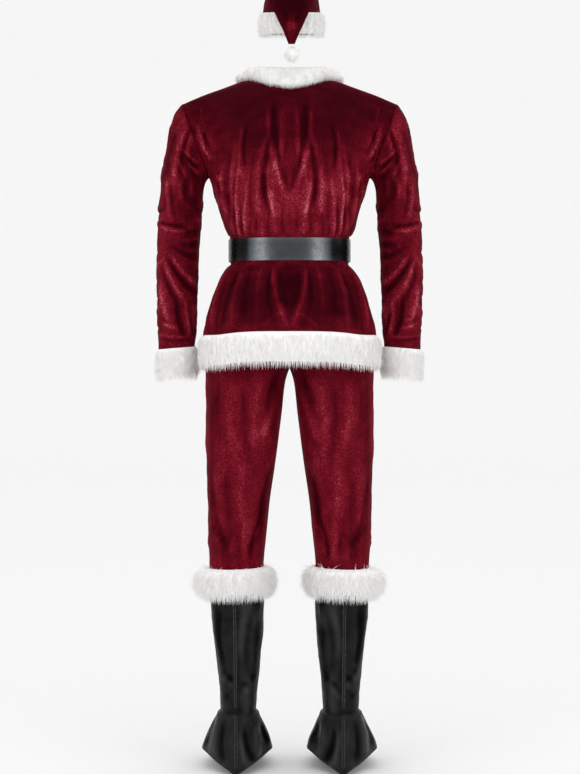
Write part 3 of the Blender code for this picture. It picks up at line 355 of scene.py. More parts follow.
def label_wall(mesh):
    """Mark a wall's faces: 1 outside, -1 inside, 0 its cut edges; and crease its sharp edges."""
    bm = bmesh.new()
    bm.from_mesh(mesh)
    sharp = {e for e in bm.edges if len(e.link_faces) == 2 and e.calc_face_angle(0) > SHARP}
    rims = {f for f in bm.faces if sum(e in sharp for e in f.edges) >= 2
            and min(e.calc_length() for e in f.edges) < WALL}
    seen, groups = set(rims), []
    for start in bm.faces:
        if start in seen:
            continue
        group, front = [], [start]
        seen.add(start)
        while front:
            face = front.pop()
            group.append(face)
            for other in (f for edge in face.edges for f in edge.link_faces):
                if other not in seen:
                    seen.add(other)
                    front.append(other)
        groups.append(group)
    groups.sort(key=lambda g: -sum(f.calc_area() for f in g))
    if len(groups) < 2 or len(groups[1]) < len(groups[0]) / 2:
        groups = sides_by_facing(bm, rims)
    labels = [0.0] * len(bm.faces)
    for value, group in zip((1.0, -1.0), groups):
        for face in group:
            labels[face.index] = value
    creases = [1.0 if e in sharp else 0.0 for e in bm.edges]
    rim_points = [1.0 if any(f in rims for f in v.link_faces) else 0.0 for v in bm.verts]
    bm.free()
    keep_floats(mesh, "part", labels, "FACE")
    keep_floats(mesh, "crease_edge", creases, "EDGE")
    keep_floats(mesh, "rim", rim_points)


def subdivided(name, points, faces, levels):
    """A subdivided copy that still passes through the points it started from."""
    base = np.array(points, float)
    control = base.copy()
    for last in (False, True):
        made = plain_object(name, control, faces)
        label_wall(made.data)
        cut = made.modifiers.new("Subdivision", "SUBSURF")
        cut.levels = cut.render_levels = levels
        baked(made)
        if not last:
            control = base + (base - points_of(made.data)[:len(base)])
            bpy.data.objects.remove(made)
    return made


def outward_of(mesh, points):
    """Each point's way out of the garment, and whether it is on the wall's inner side."""
    count = len(mesh.polygons)
    corners = np.zeros(len(mesh.loops), np.int32)
    mesh.loops.foreach_get("vertex_index", corners)
    corners = corners.reshape(count, 4)
    labels = floats_of(mesh, "part", count)
    diagonals = [points[corners[:, k + 2]] - points[corners[:, k]] for k in (0, 1)]
    facing = np.cross(*diagonals) * np.sign(labels)[:, None]
    out = np.zeros_like(points)
    side = np.zeros(len(points))
    for k in range(4):
        np.add.at(out, corners[:, k], facing)
        np.add.at(side, corners[:, k], labels)
    edges = np.zeros(len(mesh.edges) * 2, np.int32)
    mesh.edges.foreach_get("vertices", edges)
    edges = edges.reshape(-1, 2)
    size = np.linalg.norm(out, axis=1)
    bare = size < 1e-12
    out[~bare] /= size[~bare, None]
    for _ in range(4):
        spread = np.zeros_like(out)
        np.add.at(spread, edges[:, 0], out[edges[:, 1]])
        np.add.at(spread, edges[:, 1], out[edges[:, 0]])
        size = np.linalg.norm(spread, axis=1)
        fill = bare & (size > 1e-9)
        out[fill] = spread[fill] / size[fill, None]
    return out, side < 0


class Wall:
    """A cloth wall made on a CAD node's form, with what its creases and its pile with its painted light and
    shade need.
    """

    def __init__(self, node, material, levels):
        self.node, self.material = node, material
        self.obj = subdivided(f"{node}_{material.split('_')[-1]}", *quads_of(node), levels)
        self.mesh = self.obj.data
        self.points = points_of(self.mesh)
        self.out, self.inner = outward_of(self.mesh, self.points)
        self.rim = np.clip(floats_of(self.mesh, "rim", len(self.points)), 0, 1)
        self.held = 1 - RIM_HOLD * self.rim ** 2
        self.reach = np.abs(self.points[:, 0])
        self.height = self.points[:, 2] + ORIGIN_HEIGHT
        self.pile_and_painted_light = np.zeros(len(self.points))

    def above(self, level, fade):
        """1 for points above a height above the floor, with a soft change."""
        return smooth((self.height - level) / fade)

    def below(self, level, fade):
        """1 for points below a height above the floor, with a soft change."""
        return smooth((level - self.height) / fade)

    def view(self, axis, low=0.35, high=0.75, side=None):
        """How squarely each point faces along an axis; side keeps one way only."""
        facing = self.out[:, axis]
        facing = facing * side if side else np.abs(facing)
        return smooth((facing - low) / (high - low))

    def crease(self, creases, out, weight, pile=CREASE_PAINTED_LIGHT):
        """Push the wall by a table of creases, with painted light on the ridges and painted shade in the
        troughs, pile of it for each metre.
        """
        lift = crease_field(creases, out, self.height) * weight
        behind = crease_field(creases, out, self.height, lining=True) * weight
        self.points += self.out * np.where(self.inner, behind, lift)[:, None]
        self.pile_and_painted_light += lift * pile

    def seam(self, depth=SEAM_DEPTH):
        """Sink the cut edges, so that two sewn pieces meet in a groove, with painted shade in it."""
        sink = depth * self.rim ** 5
        self.points -= self.out * sink[:, None]
        self.pile_and_painted_light -= sink * SEAM_PAINTED_SHADE

    def crumple(self, size, depth, seed):
        """Small uneven rises all over, from waves that cross at odd angles, with painted light on the rises
        and painted shade in the dips.
        """
        rng = np.random.default_rng(seed)
        total = np.zeros(len(self.points))
        for k in range(WAVES):
            way = rng.normal(size=3)
            way /= np.linalg.norm(way)
            pitch = size * rng.uniform(0.6, 1.7)
            total += np.sin(self.points @ way * 2 * math.pi / pitch + rng.uniform(0, 6.28))
        total *= depth / WAVE_PEAK
        lift = np.where(self.inner, -depth, total) * (1 - self.rim)
        self.points += self.out * lift[:, None]
        self.pile_and_painted_light += total / depth * CRUMPLE_PAINTED_LIGHT

    def finish(self, slot, base_pile_and_painted_light):
        """Write the points and the pile with its painted light and shade, and hand the piece to the frame."""
        set_points(self.mesh, self.points)
        keep_floats(self.mesh, "pile_and_painted_light", np.clip(base_pile_and_painted_light + self.pile_and_painted_light, 0, 1))
        self.mesh.materials.clear()
        self.mesh.materials.append(look(self.material))
        self.mesh.shade_smooth()
        self.mesh.set_sharp_from_angle(angle=SHADE_SHARP)
        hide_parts(self.node)
        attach(self.obj, "root")
        return self.obj


def ramp(tree, value, *stops):
    """The colour that a value gets from stops: place and sRGB hex."""
    node = add(tree, "ShaderNodeValToRGB", {"Fac": value})
    elements = node.color_ramp.elements
    while len(elements) < len(stops):
        elements.new(0.5)
    for element, (place, code) in zip(elements, stops):
        element.position = place
        element.color = linear(code)
    return node.outputs["Color"]


def noise(tree, place, scale, detail, roughness=0.5):
    """A noise texture's value."""
    inputs = {"Vector": place, "Scale": scale, "Detail": detail, "Roughness": roughness}
    return add(tree, "ShaderNodeTexNoise", inputs).outputs["Fac"]


def remap(tree, value, low, high, middling=True):
    """A texture's value stretched to new limits; a middling one keeps to the middle at first."""
    inputs = {"Value": value, "To Min": low, "To Max": high}
    if middling:
        inputs |= {"From Min": 0.3, "From Max": 0.7}
    return add(tree, "ShaderNodeMapRange", inputs, clamp=low >= 0).outputs["Result"]


def bump(tree, height, strength, distance, over=None):
    """The normal of a surface that a value raises."""
    inputs = {"Height": height, "Strength": strength, "Distance": distance}
    if over:
        inputs["Normal"] = over
    return add(tree, "ShaderNodeBump", inputs).outputs["Normal"]


def sums(tree, operation, *values, **settings):
    """The result of a math node."""
    return add(tree, "ShaderNodeMath", dict(enumerate(values)), operation=operation, **settings).outputs[0]


def new_material(name):
    """An empty node material: itself, its tree, its shader and the place on the object."""
    made = bpy.data.materials.new(name)
    made.use_nodes = True
    tree = made.node_tree
    tree.nodes.clear()
    shader = add(tree, "ShaderNodeBsdfPrincipled")
    add(tree, "ShaderNodeOutputMaterial", {"Surface": shader.outputs["BSDF"]})
    return made, tree, shader, add(tree, "ShaderNodeTexCoord").outputs["Object"]


def drawn_out(tree, place, scale):
    """The place with its axes scaled, for a texture that is longer one way."""
    return add(tree, "ShaderNodeMapping", {"Vector": place, "Scale": scale}).outputs["Vector"]


def crushed_velvet(name):
    """Burgundy crushed velvet, knitted with a short pile: darker in its painted shade and lighter in its
    painted light, mottled by the crushing and with a soft bright edge."""
    made, tree, shader, place = new_material(name)
    colours = bpy.context.scene.suit_colours
    # Crushed patches are about 14 mm across and longer down the cloth; the mottle is 3 to 4 mm.
    patches = noise(tree, drawn_out(tree, place, (1.0, 1.0, 0.4)), 70.0, 3.0, 0.6)
    mottle = noise(tree, place, 270.0, 2.0, 0.7)
    # The pile attribute carries painted shade, over the upper back and in troughs, and painted light on
    # ridges; the ramp turns it into tone.
    pile_and_painted_light = add(tree, "ShaderNodeAttribute", attribute_name="pile_and_painted_light").outputs["Fac"]
    both = sums(tree, "ADD", remap(tree, patches, -0.10, 0.10), remap(tree, mottle, -0.34, 0.34))
    shade = sums(tree, "MULTIPLY_ADD", both, pile_and_painted_light, pile_and_painted_light, use_clamp=True)
    tone = ramp(tree, shade, (0.0, colours.velvet_deep_hex), (0.25, colours.velvet_dark_hex),
                (0.50, colours.velvet_mid_hex), (0.75, colours.velvet_light_hex),
                (1.0, colours.velvet_bright_hex))
    crushed = bump(tree, patches, 0.6, 0.0018, over=bump(tree, mottle, 0.5, 0.0008))
    feed(tree, shader, {"Base Color": tone, "Roughness": 0.7, "Specular IOR Level": 0.02, "Normal": crushed,
                        "Sheen Weight": 0.10, "Sheen Roughness": 0.4, "Sheen Tint": linear("#8a2236")})
    return made


def faux_fur(name):
    """White polyester fur: bright fibres that pass light on, with painted shade, a little warmer and darker,
    between the locks where the bump sinks.
    """
    made, tree, shader, place = new_material(name)
    colours = bpy.context.scene.suit_colours
    # Locks are about 6 mm wide, and lie down the trim.
    locks = noise(tree, drawn_out(tree, place, (1.0, 1.0, 0.22)), 160.0, 4.0, 0.65)
    tone = ramp(tree, locks, (0.25, colours.fur_shade_hex), (0.60, colours.fur_tip_hex))
    feed(tree, shader, {"Base Color": tone, "Roughness": 0.85, "Specular IOR Level": 0.2, "Sheen Weight": 0.8,
                        "Normal": bump(tree, locks, 0.7, 0.002)})
    return made


def black_leathercloth(name):
    """Polyurethane on a knit backing, pressed with a fine grain: near black, with grey reflections painted
    into its colour and gloss where the pile attribute is high and painted shade where it is low, broken up by
    fine specks and its small wrinkles."""
    made, tree, shader, place = new_material(name)
    (painted_shade_tone, painted_reflection_tone), roughness, (dull, gloss), grain, wrinkle = LEATHERCLOTHS[name]
    # The pressed grain is about 1.5 mm, drawn at 2.5 mm so that it shows; wrinkles are 12 mm.
    pebble = add(tree, "ShaderNodeTexVoronoi", {"Vector": place, "Scale": 400.0}, feature="SMOOTH_F1")
    wrinkles = noise(tree, place, 80.0, 4.0, 0.6)
    specks = noise(tree, place, 520.0, 2.0, 0.7)
    pile_and_painted_light = add(tree, "ShaderNodeAttribute", attribute_name="pile_and_painted_light").outputs["Fac"]
    painted_reflection = sums(tree, "MULTIPLY", pile_and_painted_light, remap(tree, specks, 0.80, 1.20))
    fine = bump(tree, pebble.outputs["Distance"], grain, 0.0004)
    feed(tree, shader, {"Base Color": ramp(tree, painted_reflection, (0.15, painted_shade_tone), (0.85, painted_reflection_tone)),
                        "Specular IOR Level": remap(tree, painted_reflection, dull, gloss, middling=False),
                        "Roughness": remap(tree, wrinkles, roughness - 0.08, roughness + 0.10),
                        "Normal": bump(tree, wrinkles, wrinkle, 0.0020, over=fine)})
    return made


def nickel_plate(name):
    """Die-cast zinc, nickel plated and brushed: pale metal with fine streaks along the frame."""
    made, tree, shader, place = new_material(name)
    streaks = noise(tree, drawn_out(tree, place, (0.05, 1.0, 1.0)), 1800.0, 2.0)
    feed(tree, shader, {"Base Color": ramp(tree, streaks, (0.3, "#b9b6b0"), (0.7, "#d8d6d1")),
                        "Metallic": 1.0, "Roughness": remap(tree, streaks, 0.20, 0.42, middling=False),
                        "Normal": bump(tree, streaks, 0.1, 0.0002)})
    return made


def black_thread(name):
    """Spun polyester thread: dull, with a slight twist of tone."""
    made, tree, shader, place = new_material(name)
    tone = ramp(tree, noise(tree, place, 900.0, 1.0), (0.35, "#020202"), (0.75, "#101011"))
    feed(tree, shader, {"Base Color": tone, "Roughness": 0.8})
    return made


def pale_studio_paper(name):
    """Matt white background paper: an even pale ground with a hint of tooth."""
    made, tree, shader, place = new_material(name)
    tone = ramp(tree, noise(tree, place, 60.0, 2.0), (0.3, "#fafafa"), (0.7, "#fdfdfd"))
    feed(tree, shader, {"Base Color": tone, "Roughness": 0.9})
    return made


def look(name):
    """A material made once and found again by its name."""
    makers = {"crushed_velvet": crushed_velvet, "faux_fur": faux_fur, "boot_leathercloth": black_leathercloth,
              "belt_leathercloth": black_leathercloth, "nickel_plate": nickel_plate,
              "black_thread": black_thread, "pale_studio_paper": pale_studio_paper}
    return bpy.data.materials.get(name) or makers[name](name)


def new_tree(name, *inputs):
    """A Geometry Nodes group that takes and gives geometry, and the sockets of its named inputs."""
    tree = bpy.data.node_groups.new(name, "GeometryNodeTree")
    tree.interface.new_socket("Geometry", in_out="OUTPUT", socket_type="NodeSocketGeometry")
    for label, kind in (("Geometry", "Geometry"),) + inputs:
        tree.interface.new_socket(label, in_out="INPUT", socket_type="NodeSocket" + kind)
    return tree, add(tree, "NodeGroupInput").outputs


def end_tree(tree, instances, material):
    """Realize a group's instances, set their material and give them out."""
    real = add(tree, "GeometryNodeRealizeInstances", {"Geometry": instances.outputs[0]})
    finish = add(tree, "GeometryNodeSetMaterial", {"Geometry": real.outputs[0], "Material": material})
    add(tree, "NodeGroupOutput", {"Geometry": finish.outputs[0]})
    return tree


def vectors(tree, operation, first, second):
    """The result of a vector math node."""
    key = "Scale" if operation == "SCALE" else 1
    return add(tree, "ShaderNodeVectorMath", {0: first, key: second}, operation=operation).outputs[0]


def fur_tree():
    """Strands of fur over a surface: tapered three-sided hairs in leaning locks."""
    tree, source = new_tree("fur_strands", ("Hairs per square metre", "Float"), ("Length", "Float"),
                            ("Width", "Float"), ("Stand", "Float"), ("Lay", "Vector"), ("Lock size", "Float"),
                            ("Lock spread", "Float"), ("Curl", "Float"), ("Seed", "Int"),
                            ("Material", "Material"))
    pile = add(tree, "GeometryNodeInputNamedAttribute", {"Name": "pile"}, data_type="FLOAT")
    density = sums(tree, "MULTIPLY", source["Hairs per square metre"], pile.outputs["Attribute"])
    roots = add(tree, "GeometryNodeDistributePointsOnFaces",
                {"Mesh": source["Geometry"], "Density": density, "Seed": source["Seed"]})
    place = add(tree, "GeometryNodeInputPosition").outputs["Position"]
    fineness = sums(tree, "DIVIDE", 1.0, source["Lock size"])
    lock = add(tree, "ShaderNodeTexNoise", {"Vector": place, "Scale": fineness, "Detail": 1.0})
    centred = vectors(tree, "SUBTRACT", lock.outputs["Color"], (0.5, 0.5, 0.5))
    locks = vectors(tree, "SCALE", centred, source["Lock spread"])
    stray = add(tree, "FunctionNodeRandomValue", {0: (-0.22, -0.22, -0.22), 1: (0.22, 0.22, 0.22), "Seed": 7},
                data_type="FLOAT_VECTOR").outputs[0]
    standing = vectors(tree, "SCALE", roots.outputs["Normal"], source["Stand"])
    leaning = vectors(tree, "ADD", vectors(tree, "ADD", standing, source["Lay"]), locks)
    upright = add(tree, "FunctionNodeAlignRotationToVector", {"Vector": vectors(tree, "ADD", leaning, stray)},
                  axis="Z")
    turned = add(tree, "FunctionNodeAlignRotationToVector",
                 {"Rotation": upright.outputs[0], "Vector": source["Lay"]}, axis="X", pivot_axis="Z")
    hair = add(tree, "GeometryNodeMeshCone", {"Vertices": 3, "Side Segments": 2, "Radius Top": 0.0,
                                              "Radius Bottom": 1.0, "Depth": 1.0}, fill_type="NGON")
    along = add(tree, "ShaderNodeSeparateXYZ", {0: place}).outputs["Z"]
    slender = sums(tree, "DIVIDE", source["Length"], source["Width"])
    curl = sums(tree, "MULTIPLY", source["Curl"], slender)
    bend = sums(tree, "MULTIPLY", sums(tree, "POWER", along, 2.0), curl)
    offset = add(tree, "ShaderNodeCombineXYZ", {"X": bend}).outputs[0]
    bent = add(tree, "GeometryNodeSetPosition", {"Geometry": hair.outputs["Mesh"], "Offset": offset})
    vary = add(tree, "FunctionNodeRandomValue", {2: 0.62, 3: 1.18, "Seed": 11}, data_type="FLOAT").outputs[1]
    tall = sums(tree, "MULTIPLY", source["Length"], vary)
    scale = add(tree, "ShaderNodeCombineXYZ", {"X": source["Width"], "Y": source["Width"], "Z": tall})
    strands = add(tree, "GeometryNodeInstanceOnPoints",
                  {"Points": roots.outputs["Points"], "Instance": bent.outputs[0],
                   "Rotation": turned.outputs[0], "Scale": scale.outputs[0]})
    return end_tree(tree, strands, source["Material"])


def stitch_tree():
    """Stitches along a line: short rounded bars, lifted off the cloth."""
    tree, source = new_tree("stitches", ("Pitch", "Float"), ("Stitch length", "Float"), ("Thread", "Float"),
                            ("Material", "Material"))
    line = add(tree, "GeometryNodeMeshToCurve", {"Mesh": source["Geometry"]})
    spaced = add(tree, "GeometryNodeResampleCurve", {"Curve": line.outputs[0], "Length": source["Pitch"]},
                 mode="LENGTH")
    tangent = add(tree, "GeometryNodeInputTangent").outputs[0]
    turned = add(tree, "FunctionNodeAlignRotationToVector", {"Vector": tangent}, axis="Z")
    bar = add(tree, "GeometryNodeMeshCylinder",
              {"Vertices": 6, "Side Segments": 3, "Radius": 1.0, "Depth": 1.0}, fill_type="NGON")
    here = add(tree, "GeometryNodeInputPosition").outputs[0]
    along = add(tree, "ShaderNodeSeparateXYZ", {0: here}).outputs["Z"]
    taper = add(tree, "ShaderNodeMapRange", {"Value": sums(tree, "ABSOLUTE", along), "From Min": 0.15,
                                             "From Max": 0.5, "To Min": 1.0, "To Max": 0.45}).outputs[0]
    narrow = add(tree, "ShaderNodeCombineXYZ", {"X": taper, "Y": taper, "Z": 1.0}).outputs[0]
    rounded = add(tree, "GeometryNodeSetPosition",
                  {"Geometry": bar.outputs["Mesh"], "Position": vectors(tree, "MULTIPLY", here, narrow)})
    scale = add(tree, "ShaderNodeCombineXYZ",
                {"X": source["Thread"], "Y": source["Thread"], "Z": source["Stitch length"]})
    sewn = add(tree, "GeometryNodeInstanceOnPoints",
               {"Points": spaced.outputs[0], "Instance": rounded.outputs[0], "Rotation": turned.outputs[0],
                "Scale": scale.outputs[0]})
    return end_tree(tree, sewn, source["Material"])


def grown(obj, tree, **values):
    """The object turned into what a Geometry Nodes tree makes of it."""
    nodes = obj.modifiers.new("Geometry Nodes", "NODES")
    nodes.node_group = tree
    inputs = {item.name: item.identifier for item in tree.interface.items_tree if item.in_out == "INPUT"}
    for name, value in values.items():
        nodes[inputs[name.replace("_", " ")]] = value
    return baked(obj)


def dress_jacket_panel(node, creases, pile_and_painted_light, levels):
    """One velvet panel of the jacket."""
    wall = Wall(node, "crushed_velvet", levels)
    belt = smooth((np.abs(wall.height - BELT_HEIGHT) - 0.025) / 0.010)
    square = wall.view(1, 0.25, 0.60)
    flank = wall.view(0, 0.55, 0.85) * wall.below(1.330, 0.03)
    keep = belt * wall.below(1.520, 0.05) * wall.held
    wall.crease(creases, wall.reach, square * keep)
    wall.crease(BODY_SIDE_CREASES, wall.points[:, 1], flank * keep)
    wall.crumple(0.060, 0.0008, 11 + levels)
    wall.crumple(0.024, 0.0003, 23 + levels)
    wall.seam()
    # Painted light and shade in soft patches where the panel faces back or front; on the fronts, painted
    # shade over the skirt where it wraps round to the back.
    wall.pile_and_painted_light += pile_and_painted_light_field(pile_and_painted_light, wall.reach, wall.height) * square
    if node != "jacket_back":
        wall.pile_and_painted_light -= 0.07 * smooth(-wall.points[:, 1] / 0.03) * wall.below(SKIRT_TOP, 0.02)
    return wall.finish("velvet", 0.50)


class SuitColours(bpy.types.PropertyGroup):
    """Colours of the finishes, as sRGB hex codes."""

    # The five velvet stops are shaded and lit tones of the one cloth, picked by the painted light and shade:
    # the deepest and dark ones painted shade, the light and brightest ones painted highlights.
    velvet_deep_hex: bpy.props.StringProperty(
        name="Velvet deepest", description="Pile looked straight into", default="#2b0008")
    velvet_dark_hex: bpy.props.StringProperty(
        name="Velvet dark", description="Upper back and shaded folds", default="#42030f")
    velvet_mid_hex: bpy.props.StringProperty(
        name="Velvet middle", description="Most of the cloth", default="#660c1b")
    velvet_light_hex: bpy.props.StringProperty(
        name="Velvet light", description="Ridges and pile that lies away", default="#83202f")
    velvet_bright_hex: bpy.props.StringProperty(
        name="Velvet brightest", description="Brightest flecks", default="#b25663")
    # The fur's darker tone is painted shade between the locks.
    fur_shade_hex: bpy.props.StringProperty(
        name="Fur roots", description="Between the locks", default="#f4f1ef")
    fur_tip_hex: bpy.props.StringProperty(
        name="Fur tips", description="Ends of the hairs", default="#fefefd")


class SuitSizes(bpy.types.PropertyGroup):
    """Sizes of what is sewn on or grown on the cloth."""

    hair_length: bpy.props.FloatProperty(
        name="Hair length", description="Length of the trim's hairs", default=0.017, min=0.004, unit="LENGTH")
    hair_width: bpy.props.FloatProperty(
        name="Hair width", description="Half width of a lock's root", default=0.00060,
        min=0.0002, unit="LENGTH")
    hairs: bpy.props.FloatProperty(
        name="Hairs", description="Hairs on each square metre of trim", default=128000.0, min=1000.0)
    lock_size: bpy.props.FloatProperty(
        name="Lock size", description="Width of the locks that lean together", default=0.011,
        min=0.002, unit="LENGTH")
    stitch_pitch: bpy.props.FloatProperty(
        name="Stitch pitch", description="From one stitch to the next", default=0.0042,
        min=0.001, unit="LENGTH")
    thread: bpy.props.FloatProperty(
        name="Thread", description="Half the thread's thickness", default=0.00042, min=0.0001, unit="LENGTH")


class StudioSizes(bpy.types.PropertyGroup):
    """The camera's place and the lights' strength."""

    camera_distance: bpy.props.FloatProperty(
        name="Camera distance", description="From the camera to the suit", default=4.6,
        min=1.0, unit="LENGTH")
    camera_height: bpy.props.FloatProperty(
        name="Camera height", description="Above the floor", default=0.95, min=0.1, unit="LENGTH")
    picture_height: bpy.props.FloatProperty(
        name="Picture height", description="Height of the frame at the suit", default=1.7415,
        min=0.5, unit="LENGTH")
    picture_middle: bpy.props.FloatProperty(
        name="Picture middle", description="Height of the frame's middle above the floor", default=0.862,
        min=0.1, unit="LENGTH")
    key_power: bpy.props.FloatProperty(
        name="Key light", description="Power of the large front light", default=8.0, min=0.0, unit="POWER")
    side_power: bpy.props.FloatProperty(
        name="Side lights", description="Power of each side light", default=12.0, min=0.0, unit="POWER")


class SUIT_OT_jacket(bpy.types.Operator):
    """Make the back and the two fronts of the jacket"""

    bl_idname = "suit.jacket"
    bl_label = "Jacket"

    def execute(self, context):
        back = dress_jacket_panel("jacket_back", BACK_CREASES, BACK_PILE_AND_PAINTED_LIGHT, 3)
        for side in ("left", "right"):
            front = dress_jacket_panel("jacket_front_" + side, FRONT_CREASES, FRONT_PILE_AND_PAINTED_LIGHT, 2)
        return {"FINISHED"}


class SUIT_OT_sleeves(bpy.types.Operator):
    """Make both sleeves"""

    bl_idname = "suit.sleeves"
    bl_label = "Sleeves"

    def execute(self, context):
        for side in ("left", "right"):
            wall = Wall("sleeve_" + side, "crushed_velvet", 3)
            ends = wall.above(0.955, 0.02) * wall.held
            behind, before = wall.view(1, 0.2, 0.6, side=-1), wall.view(1, 0.2, 0.6, side=1)
            flank = wall.view(0, 0.60, 0.85)
            wall.crease(SLEEVE_CREASES, wall.reach, behind * ends)
            wall.crease(SLEEVE_CREASES, SLEEVE_MIRROR - wall.reach, before * ends)
            wall.crease(SLEEVE_SIDE_CREASES, wall.points[:, 1], flank * ends)
            wall.crumple(0.045, 0.0009, 31)
            wall.crumple(0.020, 0.0004, 37)
            wall.seam()
            # Painted light and shade in soft patches, on the back and at 70 per cent on the front.
            wall.pile_and_painted_light += pile_and_painted_light_field(SLEEVE_PILE_AND_PAINTED_LIGHT, wall.reach, wall.height) * (behind + before * 0.7)
            sleeve = wall.finish("velvet", 0.44)
        return {"FINISHED"}


class SUIT_OT_trousers(bpy.types.Operator):
    """Make both trouser legs and the waistband"""

    bl_idname = "suit.trousers"
    bl_label = "Trousers"

    def execute(self, context):
        for side in ("left", "right"):
            wall = Wall("trousers_leg_" + side, "crushed_velvet", 2)
            ends = wall.above(0.47, 0.02) * wall.below(0.905, 0.02)
            ends *= wall.held
            behind, before = wall.view(1, 0.25, 0.65, side=-1), wall.view(1, 0.25, 0.65, side=1)
            wall.crease(LEG_CREASES, wall.reach, behind * ends, LEG_CREASE_PAINTED_LIGHT)
            wall.crease(LEG_CREASES, LEG_MIRROR - wall.reach, before * ends, LEG_CREASE_PAINTED_LIGHT)
            wall.crease(LEG_SIDE_CREASES, wall.points[:, 1], wall.view(0, 0.60, 0.85) * ends, LEG_CREASE_PAINTED_LIGHT)
            wall.crumple(0.075, 0.0008, 41)
            wall.crumple(0.026, 0.0003, 43)
            # Painted light and shade in soft patches, on the back and the front.
            wall.pile_and_painted_light += pile_and_painted_light_field(LEG_PILE_AND_PAINTED_LIGHT, wall.reach, wall.height) * (behind + before)
            leg = wall.finish("velvet", 0.47)
        band = Wall("trousers_waistband", "crushed_velvet", 2)
        band.crumple(0.012, 0.0005, 47)
        band = band.finish("velvet", 0.45)
        return {"FINISHED"}


class SUIT_OT_hat(bpy.types.Operator):
    """Make the cone of the hat"""

    bl_idname = "suit.hat"
    bl_label = "Hat"

    def execute(self, context):
        wall = Wall("hat_cone", "crushed_velvet", 2)
        reach = np.abs(wall.points[:, 0] - 0.0045)      # the hat sits that far off the centre
        wall.crease(HAT_CREASES, reach, wall.view(1, 0.2, 0.6) * wall.above(1.64, 0.02))
        wall.crease(HAT_CREASES, wall.points[:, 1] * 0.5, wall.view(0, 0.4, 0.8))
        wall.crumple(0.040, 0.0009, 53)
        hanging = smooth((-0.120 - wall.points[:, 1]) / 0.02)
        # Painted light and shade in soft patches on the hanging part of the hat.
        wall.pile_and_painted_light += pile_and_painted_light_field(HAT_PILE_AND_PAINTED_LIGHT, reach, wall.height) * hanging
        cone = wall.finish("velvet", 0.26)
        return {"FINISHED"}


class SUIT_OT_boots(bpy.types.Operator):
    """Make the shafts and feet of both boot covers"""

    bl_idname = "suit.boots"
    bl_label = "Boot covers"

    def execute(self, context):
        for side in ("left", "right"):
            shaft = Wall("boot_shaft_" + side, "boot_leathercloth", 2)
            ends = shaft.below(0.385, 0.02) * shaft.above(0.150, 0.02)
            shaft.crease(BOOT_CREASES, shaft.reach, shaft.view(1, 0.25, 0.65) * ends, BOOT_CREASE_PAINTED_LIGHT)
            shaft.crumple(0.050, 0.0010, 61)
            shaft.crumple(0.018, 0.0003, 63)
            shaft.seam(BOOT_SEAM_DEPTH)
            across = shaft.reach - BOOT_AXIS
            # A painted highlight 22 mm inward of the back seam, and painted shade from 30 mm either side of
            # it outward.
            painted_gleam = 0.30 * np.exp(-((across + 0.022) / 0.012) ** 2)
            shaft.pile_and_painted_light += painted_gleam - 0.25 * smooth((np.abs(across) - 0.030) / 0.02)
            made = shaft.finish("leathercloth", 0.30)
            foot = Wall("boot_foot_" + side, "boot_leathercloth", 3)
            weight = foot.view(1, 0.15, 0.50, side=-1) * (foot.below(0.130, 0.01) * foot.held)
            foot.crease(FOOT_CREASES, foot.reach, weight, BOOT_CREASE_PAINTED_LIGHT)
            foot.crumple(0.045, 0.0008, 67)
            foot.seam(BOOT_SEAM_DEPTH)
            made = foot.finish("leathercloth", 0.36)
        return {"FINISHED"}


class SUIT_OT_belt(bpy.types.Operator):
    """Make the belt's strap and buckle"""

    bl_idname = "suit.belt"
    bl_label = "Belt"

    def execute(self, context):
        buckle = plain_object("belt_buckle_plated", *quads_of("belt_buckle"))
        bevel = buckle.modifiers.new("Bevel", "BEVEL")
        bevel.width, bevel.segments, bevel.limit_method = 0.0009, 3, "ANGLE"
        baked(buckle)
        buckle.data.materials.append(look("nickel_plate"))
        buckle.data.shade_smooth()
        buckle.data.set_sharp_from_angle(angle=math.radians(40))
        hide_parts("belt_buckle")
        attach(buckle, "root")
        strap = Wall("belt_strap", "belt_leathercloth", 2)
        strap.crumple(0.040, 0.0003, 71)
        reach = np.abs(strap.points[:, 0])
        # Painted reflections: a broad patch and a narrow one on each side, the broad one stronger in the
        # lower half, and a lighter line along the top and bottom edges; painted shade towards the ends.
        low_half = 0.75 + 0.25 * strap.below(1.176, 0.02)
        strap.pile_and_painted_light += 0.60 * np.exp(-((reach - 0.066) / 0.019) ** 2) * low_half
        strap.pile_and_painted_light += 0.20 * np.exp(-((reach - 0.133) / 0.005) ** 2) - 0.31 * smooth((reach - 0.082) / 0.016)
        strap.pile_and_painted_light += 0.10 * smooth((np.abs(strap.height - BELT_HEIGHT) - 0.0225) / 0.002)
        strap = strap.finish("belt_leather", 0.34)
        return {"FINISHED"}


# How each trim's hairs grow: hairs, length, how far they stand, and the way they lie
# Columns: node, density share, length share, stand, lay, lift of the lower edge, drop of the top,
# thinner by
TRIMS = (
    ("hem_fur", 1.00, 1.05, 0.60, (0.0, 0.0, -1.00), 0.010, 0.002, 0.0010),
    ("cuff_fur_left", 1.20, 1.00, 0.62, (0.0, 0.0, -1.00), 0.007, 0.001, 0.0004),
    ("cuff_fur_right", 1.20, 1.00, 0.62, (0.0, 0.0, -1.00), 0.007, 0.001, 0.0004),
    ("boot_fur_left", 1.15, 1.25, 0.85, (0.0, 0.0, -0.80), 0.008, 0.003, 0.0000),
    ("boot_fur_right", 1.15, 1.25, 0.85, (0.0, 0.0, -0.80), 0.008, 0.003, 0.0000),
    ("collar_fur", 1.30, 0.62, 0.65, (0.0, 0.0, -0.70), 0.001, 0.001, 0.0000),
    ("hat_band_fur", 1.20, 0.75, 0.60, (0.0, 0.0, -0.70), 0.003, 0.001, 0.0008),
    ("hat_pompom", 1.80, 0.60, 1.00, (0.0, 0.0, -0.25), 0.002, 0.002, 0.0030),
)


